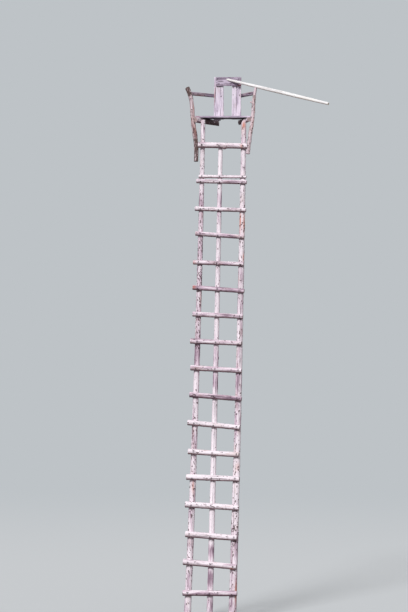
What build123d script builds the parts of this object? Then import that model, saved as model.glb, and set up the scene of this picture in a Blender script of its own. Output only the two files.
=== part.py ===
from build123d import *
from math import cos, radians, sin, sqrt, tan
import os

# A leaning hunting stand of raw logs: a tall ladder of three poles and seventeen rungs,
# with a seat, a backrest, two posts and two arm rails at its head.
# Millimetres. X runs along the rungs to the climber's right, Y away from the climber, Z up.
# The origin is the centre of the centre pole's foot, at ground level.

os.makedirs("parts", exist_ok=True)

# Seat board, whose level sets the height of the whole stand
seat_height = 6138.0           # top of the seat board above the ground
seat_depth = 240.0
seat_side_play = 3.0           # between the seat board's ends and the posts
seat_edge_radius = 6.0         # worn front edge
board_thickness = 24.0

# Ladder poles
lean = 6.0                     # degrees that the ladder leans back
foot_spread = 550.0            # rail centre to rail centre at the ground
head_spread = 508.0            # the same at the head
head_drift = -10.0             # sideways stray of the head from the foot
rail_tip_gap = 22.5            # rail tips below the seat board
left_foot_radius = 42.0
left_head_radius = 27.0
left_bow = 20.0                # natural bend of the left rail at half height
right_foot_radius = 47.0
right_head_radius = 30.0
right_bow = 12.0
centre_foot_radius = 38.0
centre_head_radius = 27.0
centre_bow = 4.0
centre_head_stray = -26.0      # the centre pole's head lies this far beside the middle
centre_tip = 20.0              # the centre pole ends this far above the footrest's middle
pole_sections = 7              # round sections along each pole
buried_length = 90.0           # cut off at the ground, which leaves a level foot
left_tip_bevel = 20.0          # degrees of the saw cuts that fall to the left on the rail tips
right_tip_bevel = 50.0

# Rungs
rung_pitch = 335.0
top_rung_clearance = 300.0     # least distance from the top rung to the footrest
lowest_rung_radius = 39.0
highest_rung_radius = 27.0
rung_taper = 0.10              # loss of radius from the thick end to the thin end
rung_overhang = 52.0           # past the centre of each rail
overhang_stray = 10.0          # the overhangs swing by this much from rung to rung
left_swing = 2.3               # radians of the swing from one rung to the next
right_swing = 1.7
right_swing_start = 2.0
end_chamfer = 2.0              # worn edge of a sawn end
notch_depth = 10.0             # how far a rung is let into a pole
rung_flat = 7.0                # shaved off the back of a rung where it is seated
flat_spare = 5.0               # the shaved flat runs this far past each side of a pole
notch_play = 1.0               # gap beside a rung in its notch
rung_strays = [0, 10, 15, 40, 45, 10, 15, 25, 25, 20, 15, 0, -15, -5, -20, -10]
rung_tilts = [1, -4, -3, -2.5, -1, -2.5, -4.5, -4, -2.5, -2, -2.5, -3.5, -2, -4, -1.5, -1.5]
extra_rung_gap = 16.0          # a thin extra rung lies this close above the top rung
extra_rung_radius = 20.0
extra_rung_tilt = -0.5
extra_rung_overhang = 26.0     # on the left; the right end is as long as the others

# Footrest
footrest_drop = 328.0          # from the rail tips down to its middle, along the ladder
footrest_radius = 36.0
footrest_tilt = -1.6
footrest_taper = 0.08
knot_shift = 30.0              # branch knot on its underside, beside the centre pole
knot_root_radius = 24.0
knot_tip_radius = 9.0
knot_height = 13.0

# Side beams under the seat, running back to both sides of the round support behind it
left_beam_radius = 34.0
right_beam_radius = 28.0
beam_flat = 5.0                # flat that the seat board lies on
beam_cheek = 4.0               # flat where a beam meets its post
rail_lap = 8.0                 # how far a beam and its rail are let into each other
support_width = 250.0          # clear width between the beams at the support
support_cheek = 4.0            # flat of each beam against the support
left_beam_reach = 57.0         # how far the beams stand out in front of the seat
right_beam_reach = 25.0
beam_tail = 60.0               # past the middle of the support
rail_patch = 130.0             # length of the flats where a beam passes its rail

# Backrest
back_width = 341.0
back_shift = 10.0              # backrest's middle beside the middle of the head
back_height = 500.0            # seat top to the upper edge of the backrest
left_board_width = 116.0
left_board_foot_width = 126.0  # the left board widens downwards
right_board_width = 116.0
right_board_set_down = 10.0    # the right board stops this far under the upper edge
left_board_drop = 16.0         # the left board's lower end reaches this far below the seat board
left_board_split = 78.0        # over this much of its width; the rest has split away
top_board_height = 111.0
top_board_inset = 27.0         # the top board starts this far inside the left board's edge

# Posts
left_post_radius = 29.0
right_post_radius = 24.0
post_cheek = 4.0               # flat where a post meets its beam
left_foot_lap = 3.0            # how far the footrest's ends are let into the posts
right_foot_lap = 13.0
left_post_top = 352.0          # post tips above the seat top
right_post_top = 350.0
left_post_drop = 207.0         # post feet below the footrest
right_post_drop = 95.0
left_tuck = 53.0               # the footrest joint lies this far inside the beam joint
right_tuck = 36.0
left_arm_flare = 53.0          # the arm joint lies this far outside the beam joint
right_arm_flare = 20.0
left_tip_flare = 86.0          # and the tip this far
right_tip_flare = 30.0
post_foot_bend = 5.0           # the foot lies this far inside the footrest joint
left_post_swell = [0.90, 1.0, 1.03, 1.0, 0.95, 1.0]    # radii from the foot to the tip
right_post_swell = [1.0, 1.0, 0.95, 0.9, 0.84, 0.66]
post_sections = 13
stub_height = 150.0            # broken branch on the right post, above the seat top
stub_length = 24.0
stub_root_radius = 12.5
stub_radius = 9.0
stub_rise = 25.0               # degrees that the stub points upwards

# Arm rails
arm_height = 280.0             # arm rails' middle above the seat top
arm_thickness = 30.0
arm_depth = 46.0
arm_edge_radius = 9.0
arm_cheek = 6.0                # flat on a post that the arm rail's end is nailed to

# Pale peeled pole, nailed to the top board and to the tip of the right post
pale_pole_length = 1520.0
pale_pole_height = 465.0       # its left end above the seat top
pale_pole_start = 24.0         # its left end beside the middle of the head
pale_end_radius = 12.0
pale_middle_radius = 21.0
pale_tip_radius = 16.0
pale_pole_flat = 3.0
pale_pole_spare = 40.0         # extra length that is cut off flush with the top board

# Shaved flats
clear_cut = 3.0                # a cut is this many radii wide, so that it clears the whole log

# Levels and depths that follow
rise, run = cos(radians(lean)), sin(radians(lean))
seat_under = seat_height - board_thickness
rail_length = (seat_under - rail_tip_gap) / rise
footrest_along = rail_length - footrest_drop
arm_level = seat_height + arm_height

# The plane that touches the front of all three poles; its Y runs up along the ladder
front_plane = Plane(
    origin=(0, -centre_foot_radius / rise, 0), x_dir=(1, 0, 0), z_dir=(0, -rise, run)
)
head_front = front_plane.from_local_coords(Vector(0, seat_under / rise, 0)).Y
back_face = head_front + seat_depth
top_board_front = back_face - board_thickness
support_middle = back_face + board_thickness + support_width / 2
beam_end = support_middle + beam_tail


def blend(low, high, share):
    return low + (high - low) * share


def spread_values(values, count):
    """Values at even steps along a list, joined by straight lines."""
    result = []
    for number in range(count):
        place = number / (count - 1) * (len(values) - 1)
        lower = min(int(place), len(values) - 2)
        result.append(blend(values[lower], values[lower + 1], place - lower))
    return result


def log_along(line, radii, ruled=True):
    """A log whose round sections stand square on a line, evenly spaced."""
    sections = []
    for number, radius in enumerate(radii):
        share = number / (len(radii) - 1)
        with BuildSketch(Plane(origin=line @ share, z_dir=line % share)) as section:
            Circle(radius)
        sections.append(section.sketch)
    loft(sections, ruled=ruled)


def turn_log(start, direction, outline):
    """A straight log turned around its axis; the outline is in (radius, distance) pairs."""
    sideways = Vector(0, 0, 1).cross(direction).normalized()
    upright = Plane(origin=start, x_dir=direction.cross(sideways), z_dir=sideways)
    with BuildSketch(upright) as profile:
        with BuildLine():
            Polyline(*outline, close=True)
        make_face()
    revolve(profile.sketch, axis=Axis(start, direction))


def cut_in_front(plane, width, height, depth):
    """Shaves off what stands in front of a plane, over a patch around its origin."""
    with Locations(plane.location):
        Box(width, height, depth, align=(Align.CENTER, Align.CENTER, Align.MIN), mode=Mode.SUBTRACT)


class Pole:
    """A tapered, bowed pole that touches the front plane and is cut level at the ground."""

    def __init__(self, foot_x, head_x, bow, foot_radius, head_radius, length):
        self.length = length
        self.foot_radius = foot_radius
        self.head_radius = head_radius
        points = []
        for share in (0, 0.5, 1):
            sideways = blend(foot_x, head_x, share) + bow * (1 - (2 * share - 1) ** 2)
            points.append((sideways, blend(-buried_length, length, share), -self.radius_at(share)))
        with BuildLine(front_plane) as axis:
            Spline(*points)
        self.axis = axis.line

    def radius_at(self, share):
        return blend(self.foot_radius, self.head_radius, share)

    def share_at(self, along):
        return (along + buried_length) / (self.length + buried_length)

    def build(self, logs):
        log_along(self.axis, spread_values([self.foot_radius, self.head_radius], pole_sections))
        split(bisect_by=Plane.XY, keep=Keep.TOP)
        for log in logs:
            with Locations(log.plane.location):
                Box(foot_spread * 2, log.notch_width(), foot_spread,
                    align=(Align.CENTER, Align.CENTER, Align.MIN), mode=Mode.SUBTRACT)

    def bevel_tip(self, bevel):
        """Slanting saw cut that falls from the middle of the tip to its left side."""
        tip = Plane(origin=self.axis @ 1, x_dir=(1, 0, 0), z_dir=self.axis % 1)
        slant = Plane(tip.location * Location((0, 0, -end_chamfer), (0, -bevel, 0)))
        split(bisect_by=slant, keep=Keep.BOTTOM)


left_pole = Pole(-foot_spread / 2, head_drift - head_spread / 2, left_bow,
                 left_foot_radius, left_head_radius, rail_length)
right_pole = Pole(foot_spread / 2, head_drift + head_spread / 2, right_bow,
                  right_foot_radius, right_head_radius, rail_length)
middle_pole = Pole(0, head_drift + centre_head_stray, centre_bow,
                   centre_foot_radius, centre_head_radius, footrest_along + centre_tip)


class CrossLog:
    """A log laid across the poles: its plane lies on the floor of the notches."""

    def __init__(self, along, tilt, radius, taper):
        self.along = along
        self.tilt = tilt
        self.radius = radius
        self.thin_radius = radius * (1 - taper)
        drift = head_drift * along / rail_length
        seat = Location((drift, along, -notch_depth), (0, 0, tilt))
        self.plane = Plane(front_plane.location * seat)
        self.centre_out = radius - rung_flat
        self.middle = self.plane.from_local_coords(Vector(0, 0, self.centre_out))
        self.crossings = []
        for pole in (left_pole, middle_pole, right_pole):
            share = pole.share_at(along)
            x = front_plane.to_local_coords(pole.axis @ share).X - drift
            self.crossings.append((x, pole.radius_at(share)))
        half_spread = blend(foot_spread, head_spread, along / rail_length) / 2
        self.left_end = self.right_end = half_spread

    def notch_width(self):
        half = sqrt(self.radius ** 2 - (self.centre_out - notch_depth) ** 2)
        return 2 * (half + notch_play)

    def build(self):
        length = self.left_end + self.right_end
        outline = [
            (0, 0), (self.radius - end_chamfer, 0), (self.radius, end_chamfer),
            (self.thin_radius, length - end_chamfer), (self.thin_radius - end_chamfer, length), (0, length),
        ]
        start = self.plane.from_local_coords(Vector(-self.left_end, 0, self.centre_out))
        turn_log(start, self.plane.x_dir, outline)
        for x, pole_radius in self.crossings:
            patch = Plane(self.plane.location * Location((x, 0, 0), (180, 0, 0)))
            cut_in_front(patch, 2 * (pole_radius + flat_spare), self.radius * clear_cut, self.radius)


# Where the rungs lie, from the ground up
rung_count = int((footrest_along - top_rung_clearance) // rung_pitch)
rung_logs = []
for number in range(rung_count):
    stray = rung_strays[number % len(rung_strays)]
    tilt = rung_tilts[number % len(rung_tilts)]
    radius = blend(lowest_rung_radius, highest_rung_radius, number / (rung_count - 1))
    log = CrossLog((number + 1) * rung_pitch + stray, tilt, radius, rung_taper)
    log.left_end += rung_overhang + overhang_stray * sin(left_swing * number)
    log.right_end += rung_overhang + overhang_stray * sin(right_swing * number + right_swing_start)
    rung_logs.append(log)
top_log = rung_logs[-1]
extra_along = top_log.along + top_log.radius + extra_rung_gap + extra_rung_radius
extra_log = CrossLog(extra_along, extra_rung_tilt, extra_rung_radius, rung_taper)
extra_log.left_end += extra_rung_overhang
extra_log.right_end += rung_overhang
rung_logs.append(extra_log)
foot_log = CrossLog(footrest_along, footrest_tilt, footrest_radius, footrest_taper)


class SideBeam:
    """A log beside a rail (side -1 left, 1 right), running back to the support."""

    def __init__(self, side, pole, radius, reach):
        self.side = side
        self.radius = radius
        self.level = seat_under - (radius - beam_flat)
        share = pole.share_at(self.level / rise)
        rail_middle = pole.axis @ share
        beside_rail = pole.radius_at(share) + radius - rail_lap
        at_rail = Vector(rail_middle.X + side * beside_rail, rail_middle.Y, self.level)
        out = support_width / 2 + radius - support_cheek
        at_support = Vector(head_drift + side * out, support_middle, self.level)
        self.direction = (at_support - at_rail).normalized()
        self.rail_joint = at_rail
        self.start = self.point_at(head_front - reach)
        self.end = self.point_at(beam_end)
        self.outward = self.direction.cross(Vector(0, 0, side))
        overlap = radius + pole.radius_at(share) - (at_rail - rail_middle).dot(self.outward)
        self.rail_cheek = overlap / 2

    def point_at(self, y):
        return self.rail_joint + self.direction * ((y - self.rail_joint.Y) / self.direction.Y)

    def cheek(self, point, sign, depth):
        """Plane on the outer (1) or inner (-1) cheek, level with a point, facing off the beam."""
        along = (point - self.start).dot(self.direction)
        normal = self.outward * sign
        origin = self.start + self.direction * along + normal * (self.radius - depth)
        return Plane(origin=origin, x_dir=self.direction, z_dir=normal)

    def build(self, post):
        log_along(Edge.make_line(self.start, self.end), [self.radius, self.radius])
        split(bisect_by=Plane.XY.offset(seat_under), keep=Keep.BOTTOM)
        rail_side = self.cheek(self.rail_joint, -1, self.rail_cheek)
        cut_in_front(rail_side, rail_patch, self.radius * clear_cut, self.radius)
        post_side = self.cheek(post.at_beam, 1, beam_cheek)
        cut_in_front(post_side, post.radius * clear_cut, self.radius * clear_cut, self.radius)
        inner_face = Vector(head_drift + self.side * support_width / 2, support_middle, self.level)
        facing = Plane(origin=inner_face, x_dir=(0, 1, 0), z_dir=(-self.side, 0, 0))
        cut_in_front(facing, support_width * 2, self.radius * clear_cut, self.radius * clear_cut)


class Post:
    """A crooked post from below the footrest, past its beam, to a tip above the arm rail."""

    def __init__(self, beam, radius, swell, top, drop, tuck, arm_flare, tip_flare, lap):
        side = beam.side
        slope = run / rise
        self.beam = beam
        self.radius = radius
        self.swell = swell
        height = beam.level - foot_log.middle.Z
        on_beam = beam.point_at(foot_log.middle.Y + height * slope)
        self.at_beam = on_beam + beam.outward * (beam.radius - beam_cheek + radius - post_cheek)
        across = (self.at_beam.X - side * tuck - foot_log.middle.X) / cos(radians(footrest_tilt))
        self.at_footrest = foot_log.plane.from_local_coords(Vector(across, 0, foot_log.centre_out))
        self.footrest_end = abs(across) - (radius - lap)
        self.foot = self.at_footrest + Vector(-side * post_foot_bend, -drop * slope, -drop)
        up = arm_level - beam.level
        self.at_arm = self.at_beam + Vector(side * arm_flare, up * slope, up)
        up = seat_height + top - beam.level
        self.tip = self.at_beam + Vector(side * tip_flare, up * slope, up)

    def radius_near(self, z):
        place = (z - self.foot.Z) / (self.tip.Z - self.foot.Z) * (len(self.swell) - 1)
        lower = min(int(place), len(self.swell) - 2)
        return self.radius * blend(self.swell[lower], self.swell[lower + 1], place - lower)

    def inner_face(self, z):
        share = (z - self.at_beam.Z) / (self.at_arm.Z - self.at_beam.Z)
        return blend(self.at_beam.X, self.at_arm.X, share) - self.beam.side * self.radius

    def build(self, arm):
        with BuildLine() as axis:
            Spline(self.foot, self.at_footrest, self.at_beam, self.at_arm, self.tip)
        radii = [self.radius * share for share in spread_values(self.swell, post_sections)]
        log_along(axis.line, radii)
        # flat against the beam
        beam_side = self.beam.cheek(self.at_beam, 1, beam_cheek)
        facing = Plane(origin=beam_side.origin, x_dir=beam_side.x_dir, z_dir=beam_side.z_dir * -1)
        cut_in_front(facing, self.radius * clear_cut, 2 * (self.beam.radius + notch_play), self.radius * 2)
        # flat against the end of the footrest
        side = self.beam.side
        end = foot_log.plane.from_local_coords(Vector(side * self.footrest_end, 0, foot_log.centre_out))
        facing = Plane(origin=end, x_dir=foot_log.plane.z_dir, z_dir=foot_log.plane.x_dir * -side)
        cut_in_front(facing, self.radius * clear_cut, 2 * (foot_log.radius + notch_play), self.radius * 2)
        # flat against the end of the arm rail
        cut_in_front(arm.end_plane, arm_depth + notch_play, self.radius * clear_cut, self.radius * 2)


class ArmRail:
    """A board on edge, from the inner face of a post to the side of the support."""

    def __init__(self, post):
        side = post.beam.side
        out = (support_width + arm_thickness) / 2
        at_support = Vector(head_drift + side * out, support_middle, arm_level)
        direction = (at_support - post.at_arm).normalized()
        self.start = post.at_arm + direction * (post.radius_near(arm_level) - arm_cheek)
        self.length = (at_support - self.start).length + beam_tail
        self.end_plane = Plane(origin=self.start, x_dir=(0, 0, 1), z_dir=direction)

    def build(self):
        with BuildSketch(self.end_plane) as profile:
            RectangleRounded(arm_depth, arm_thickness, arm_edge_radius)
        extrude(profile.sketch, amount=self.length)


left_beam = SideBeam(-1, left_pole, left_beam_radius, left_beam_reach)
right_beam = SideBeam(1, right_pole, right_beam_radius, right_beam_reach)
left_upright = Post(left_beam, left_post_radius, left_post_swell, left_post_top, left_post_drop,
                    left_tuck, left_arm_flare, left_tip_flare, left_foot_lap)
right_upright = Post(right_beam, right_post_radius, right_post_swell, right_post_top, right_post_drop,
                     right_tuck, right_arm_flare, right_tip_flare, right_foot_lap)
left_arm = ArmRail(left_upright)
right_arm = ArmRail(right_upright)
foot_log.left_end = left_upright.footrest_end
foot_log.right_end = right_upright.footrest_end
cross_logs = rung_logs + [foot_log]


def cut_rail_cheek(beam):
    """Flat on the outer side of a rail, where its beam passes."""
    plane = beam.cheek(beam.rail_joint, -1, beam.rail_cheek)
    facing = Plane(origin=plane.origin, x_dir=plane.x_dir, z_dir=beam.outward)
    cut_in_front(facing, rail_patch, 2 * (beam.radius + notch_play), beam.radius * 2)


# Left rail
with BuildPart() as left_rail:
    left_pole.build(cross_logs)
    cut_rail_cheek(left_beam)
    left_pole.bevel_tip(left_tip_bevel)
left_rail.part.label = "left_rail"
export_step(left_rail.part, "parts/left_rail.step")

# Right rail
with BuildPart() as right_rail:
    right_pole.build(cross_logs)
    cut_rail_cheek(right_beam)
    right_pole.bevel_tip(right_tip_bevel)
right_rail.part.label = "right_rail"
export_step(right_rail.part, "parts/right_rail.step")

# Centre pole
with BuildPart() as centre_pole:
    middle_pole.build(cross_logs)
centre_pole.part.label = "centre_pole"
export_step(centre_pole.part, "parts/centre_pole.step")

# Rungs, from the ground up
for number, log in enumerate(rung_logs, 1):
    name = f"rung_{number:02d}"
    with BuildPart() as rung:
        log.build()
    rung.part.label = name
    export_step(rung.part, f"parts/{name}.step")

# Footrest, with a branch knot on its underside
with BuildPart() as footrest_log:
    foot_log.build()
    root = foot_log.middle + foot_log.plane.x_dir * knot_shift
    with Locations(Plane(origin=root, z_dir=foot_log.plane.y_dir * -1).location):
        Cone(knot_root_radius, knot_tip_radius, foot_log.radius + knot_height,
             align=(Align.CENTER, Align.CENTER, Align.MIN))
footrest_log.part.label = "footrest_log"
export_step(footrest_log.part, "parts/footrest_log.step")

# Seat board, between the two posts
with BuildPart() as seat_board:
    left_end = left_upright.inner_face(seat_under) + seat_side_play
    right_end = right_upright.inner_face(seat_under) - seat_side_play
    with BuildSketch(Plane.XY.offset(seat_under)):
        with Locations(((left_end + right_end) / 2, head_front + seat_depth / 2)):
            Rectangle(right_end - left_end, seat_depth)
    extrude(amount=board_thickness)
    fillet(seat_board.edges().filter_by(Axis.X).group_by(Axis.Y)[0].sort_by(Axis.Z)[-1], seat_edge_radius)
seat_board.part.label = "seat_board"
export_step(seat_board.part, "parts/seat_board.step")

# Side beams
with BuildPart() as left_seat_beam:
    left_beam.build(left_upright)
left_seat_beam.part.label = "left_seat_beam"
export_step(left_seat_beam.part, "parts/left_seat_beam.step")

with BuildPart() as right_seat_beam:
    right_beam.build(right_upright)
right_seat_beam.part.label = "right_seat_beam"
export_step(right_seat_beam.part, "parts/right_seat_beam.step")

# Arm rails
with BuildPart() as left_arm_rail:
    left_arm.build()
left_arm_rail.part.label = "left_arm_rail"
export_step(left_arm_rail.part, "parts/left_arm_rail.step")

with BuildPart() as right_arm_rail:
    right_arm.build()
right_arm_rail.part.label = "right_arm_rail"
export_step(right_arm_rail.part, "parts/right_arm_rail.step")

# Pale pole: from the front of the top board, over the tip of the right post, and beyond
pale_start = Vector(head_drift + pale_pole_start, top_board_front, seat_height + pale_pole_height)
share = (right_upright.tip - pale_start).length / pale_pole_length
pale_radius_there = blend(pale_end_radius, pale_middle_radius, share * 2)
pale_clear = pale_radius_there - pale_pole_flat
pale_direction = (right_upright.tip + Vector(0, 0, pale_clear) - pale_start).normalized()
pale_across = pale_direction.cross(Vector(0, 0, 1)).normalized()
pale_up = pale_across.cross(pale_direction)
pale_seat = Plane(origin=right_upright.tip, x_dir=pale_direction, z_dir=pale_up)

with BuildPart() as pale_pole:
    pale_root = pale_start - pale_direction * pale_pole_spare
    pale_tip = pale_start + pale_direction * pale_pole_length
    pale_radii = [pale_end_radius, pale_middle_radius, pale_tip_radius]
    log_along(Edge.make_line(pale_root, pale_tip), pale_radii, ruled=False)
    split(bisect_by=Plane(origin=pale_start, z_dir=(0, -1, 0)), keep=Keep.TOP)
    facing = Plane(origin=pale_seat.origin, x_dir=pale_direction, z_dir=pale_up * -1)
    cut_in_front(facing, right_post_radius * clear_cut, pale_middle_radius * clear_cut, pale_middle_radius)
pale_pole.part.label = "pale_pole"
export_step(pale_pole.part, "parts/pale_pole.step")

# Posts
with BuildPart() as left_post:
    left_upright.build(left_arm)
left_post.part.label = "left_post"
export_step(left_post.part, "parts/left_post.step")

with BuildPart() as right_post:
    right_upright.build(right_arm)
    split(bisect_by=pale_seat, keep=Keep.BOTTOM)
    share = (stub_height + seat_height - right_upright.at_beam.Z) / (arm_level - right_upright.at_beam.Z)
    stub_root = right_upright.at_beam + (right_upright.at_arm - right_upright.at_beam) * share
    with Locations(Plane(origin=stub_root, z_dir=(-1, 0, tan(radians(stub_rise)))).location):
        Cone(stub_root_radius, stub_radius, right_post_radius + stub_length,
             align=(Align.CENTER, Align.CENTER, Align.MIN))
right_post.part.label = "right_post"
export_step(right_post.part, "parts/right_post.step")

# Backrest: two upright boards on the seat board's rear edge and a top board nailed across them
back_foot = Vector(head_drift + back_shift, back_face, seat_height)
back_plane = Plane(origin=back_foot, x_dir=(1, 0, 0), z_dir=(0, -1, 0))
left_edge = -back_width / 2
right_edge = back_width / 2

with BuildPart() as left_back_board:
    with BuildSketch(back_plane):
        with BuildLine():
            Polyline(
                (left_edge, back_height),
                (left_edge + left_board_width, back_height),
                (left_edge + left_board_foot_width, -board_thickness),
                (left_edge + left_board_split, -board_thickness),
                (left_edge + left_board_split, -board_thickness - left_board_drop),
                (left_edge, -board_thickness - left_board_drop),
                close=True,
            )
        make_face()
    extrude(amount=-board_thickness)
left_back_board.part.label = "left_back_board"
export_step(left_back_board.part, "parts/left_back_board.step")

with BuildPart() as right_back_board:
    with BuildSketch(back_plane):
        with Locations((right_edge, -board_thickness)):
            Rectangle(right_board_width, back_height - right_board_set_down + board_thickness,
                      align=(Align.MAX, Align.MIN))
    extrude(amount=-board_thickness)
right_back_board.part.label = "right_back_board"
export_step(right_back_board.part, "parts/right_back_board.step")

with BuildPart() as top_back_board:
    with BuildSketch(back_plane):
        with Locations((right_edge, back_height)):
            Rectangle(back_width - top_board_inset, top_board_height, align=(Align.MAX, Align.MAX))
    extrude(amount=board_thickness)
top_back_board.part.label = "top_back_board"
export_step(top_back_board.part, "parts/top_back_board.step")
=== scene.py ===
import math

import bpy
import numpy as np
from mathutils import Matrix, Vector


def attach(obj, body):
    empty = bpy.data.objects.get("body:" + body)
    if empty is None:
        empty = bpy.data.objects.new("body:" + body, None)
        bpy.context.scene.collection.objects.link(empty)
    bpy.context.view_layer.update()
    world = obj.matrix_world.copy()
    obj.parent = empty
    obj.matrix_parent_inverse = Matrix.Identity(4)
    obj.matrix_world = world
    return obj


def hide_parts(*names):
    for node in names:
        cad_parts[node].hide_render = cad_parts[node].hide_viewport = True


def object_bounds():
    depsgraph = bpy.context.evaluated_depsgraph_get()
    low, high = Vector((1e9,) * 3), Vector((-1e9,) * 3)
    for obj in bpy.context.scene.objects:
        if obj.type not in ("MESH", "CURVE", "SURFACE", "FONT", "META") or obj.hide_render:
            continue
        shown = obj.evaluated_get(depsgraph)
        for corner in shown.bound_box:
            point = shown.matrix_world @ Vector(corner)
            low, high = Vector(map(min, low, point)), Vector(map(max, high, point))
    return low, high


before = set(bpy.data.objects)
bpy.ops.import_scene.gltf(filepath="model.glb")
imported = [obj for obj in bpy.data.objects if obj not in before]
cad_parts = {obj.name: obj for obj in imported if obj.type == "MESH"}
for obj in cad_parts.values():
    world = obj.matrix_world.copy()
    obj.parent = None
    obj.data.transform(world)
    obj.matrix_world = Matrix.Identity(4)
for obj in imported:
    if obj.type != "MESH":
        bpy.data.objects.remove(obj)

cadBox = [list(corner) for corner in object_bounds()]
print("frame loaded")

# Metres and degrees, the same values as in the part's source
stand = dict(
    seatHeight=6.138, seatDepth=0.240, board=0.024, sidePlay=0.003,
    lean=6.0, footSpread=0.550, headSpread=0.508, headDrift=-0.010, tipGap=0.0225, buried=0.090,
    footrestDrop=0.328, centreTip=0.020,
    supportWidth=0.250, supportCheek=0.004, beamTail=0.060, beamFlat=0.005, beamCheek=0.004,
    railLap=0.008, railPatch=0.130, armHeight=0.280,
)
lean = math.radians(stand["lean"])
rise, run = math.cos(lean), math.sin(lean)
seatUnder = stand["seatHeight"] - stand["board"]
railLength = (seatUnder - stand["tipGap"]) / rise
footrestAlong = railLength - stand["footrestDrop"]

acrossLadder = np.array([1.0, 0.0, 0.0])
upLadder = np.array([0.0, run, rise])
offLadder = np.array([0.0, -rise, run])  # towards the climber
toClimber = np.array([0.0, -1.0, 0.0])
plumb = np.array([0.0, 0.0, 1.0])
withinBox = -0.0025  # keeps bark and lumps inside the box of the solids


def blend(low, high, share):
    return low + (high - low) * share


def unit(vector):
    return vector / np.linalg.norm(vector)


def unitRows(vectors):
    return vectors / np.linalg.norm(vectors, axis=-1, keepdims=True)


def turnGap(angle):
    return (angle + np.pi) % (2 * np.pi) - np.pi


def onLadder(across, along, out):
    # Point in front of (out > 0) or behind the plane that touches the front of all three poles
    foot = np.array([0.0, -poles["centre_pole"]["footRadius"] / rise, 0.0])
    return (foot + np.multiply.outer(across, acrossLadder)
            + np.multiply.outer(along, upLadder) + np.multiply.outer(out, offLadder))


# Poles, with places along them in metres: shades and rough bark are (place, spread, change), cracks
# (start, end, angle, twist, width, depth), stains (place, angle, length, width, strength) and
# branches (place, angle, size, height). Shades lighten or darken stretches of a pole: partly the wood's own
# tone, partly painted dappled light and shade of foliage
poles = dict(
    left_rail=dict(
        foot=-stand["footSpread"] / 2, head=stand["headDrift"] - stand["headSpread"] / 2, bow=0.020,
        footRadius=0.042, headRadius=0.027, length=railLength, bevel=20.0, seed=11,
        whorls=21, knotSize=0.010, bark=0.23, around=58, tone=0.02, warmth=0.0,
        shades=[(1.75, 0.30, 0.16), (2.56, 0.12, 0.12), (3.25, 0.12, -0.30), (4.45, 0.45, -0.14),
                (5.18, 0.12, -0.20), (5.60, 0.16, 0.32)],
        rough=[(4.3, 0.9, 0.16), (2.2, 0.3, 0.08)],
        cracks=[(0.5, 2.3, 0.5, 0.16, 0.0028, 0.010), (3.1, 4.6, -0.3, -0.12, 0.0022, 0.008)],
        stains=[(1.62, 0.3, 0.07, 0.40, 0.6), (3.9, 1.0, 0.10, 0.5, 0.35)],
        branches=[(3.32, -0.4, 0.012, 0.005), (3.30, 0.5, 0.011, 0.004), (3.35, 0.1, 0.009, 0.004)],
    ),
    right_rail=dict(
        foot=stand["footSpread"] / 2, head=stand["headDrift"] + stand["headSpread"] / 2, bow=0.012,
        footRadius=0.047, headRadius=0.030, length=railLength, bevel=50.0, seed=23,
        whorls=19, knotSize=0.011, bark=0.22, around=60, tone=0.06, warmth=0.0,
        shades=[(0.25, 0.15, -0.12), (0.86, 0.12, -0.18), (1.72, 0.26, 0.75), (2.86, 0.12, -0.22),
                (4.55, 0.25, 0.14), (5.18, 0.14, 0.22)],
        rough=[(0.6, 0.3, 0.12), (1.1, 0.15, 0.24), (4.85, 0.3, 0.10)],
        cracks=[(0.3, 1.9, -0.4, 0.10, 0.0030, 0.011), (2.4, 4.2, 0.4, -0.10, 0.0024, 0.009)],
        stains=[(4.86, -0.7, 0.11, 0.45, 1.0), (4.83, 1.0, 0.10, 0.5, 1.0), (4.42, 0.9, 0.05, 0.5, 0.7),
                (6.05, 0.1, 0.05, 0.9, 0.9), (1.86, 0.5, 0.05, 0.5, 0.5), (0.36, 1.05, 0.13, 0.42, 1.0)],
        branches=[(1.14, 0.75, 0.015, 0.007), (1.10, 0.35, 0.012, 0.006), (1.07, 0.95, 0.012, 0.005),
                  (1.16, 0.2, 0.009, 0.004)],
    ),
    centre_pole=dict(
        foot=0.0, head=stand["headDrift"] - 0.026, bow=0.004,
        footRadius=0.038, headRadius=0.027, length=footrestAlong + stand["centreTip"], bevel=0.0, seed=37,
        whorls=12, knotSize=0.008, bark=0.00, around=56, tone=0.22, warmth=-0.20,
        shades=[(0.19, 0.12, -0.30), (0.52, 0.10, -0.64), (0.84, 0.10, -0.52), (1.70, 0.70, 0.55),
                (2.90, 0.12, -0.48), (3.25, 0.16, -0.28), (5.15, 0.17, -0.40), (5.60, 0.22, 0.85)],
        rough=[],
        cracks=[(5.47, 5.62, 0.55, 0.02, 0.0024, 0.009), (1.0, 3.4, 0.15, 0.05, 0.0022, 0.008)],
        stains=[], branches=[(3.18, 1.4, 0.016, 0.007)],
    ),
)

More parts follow.
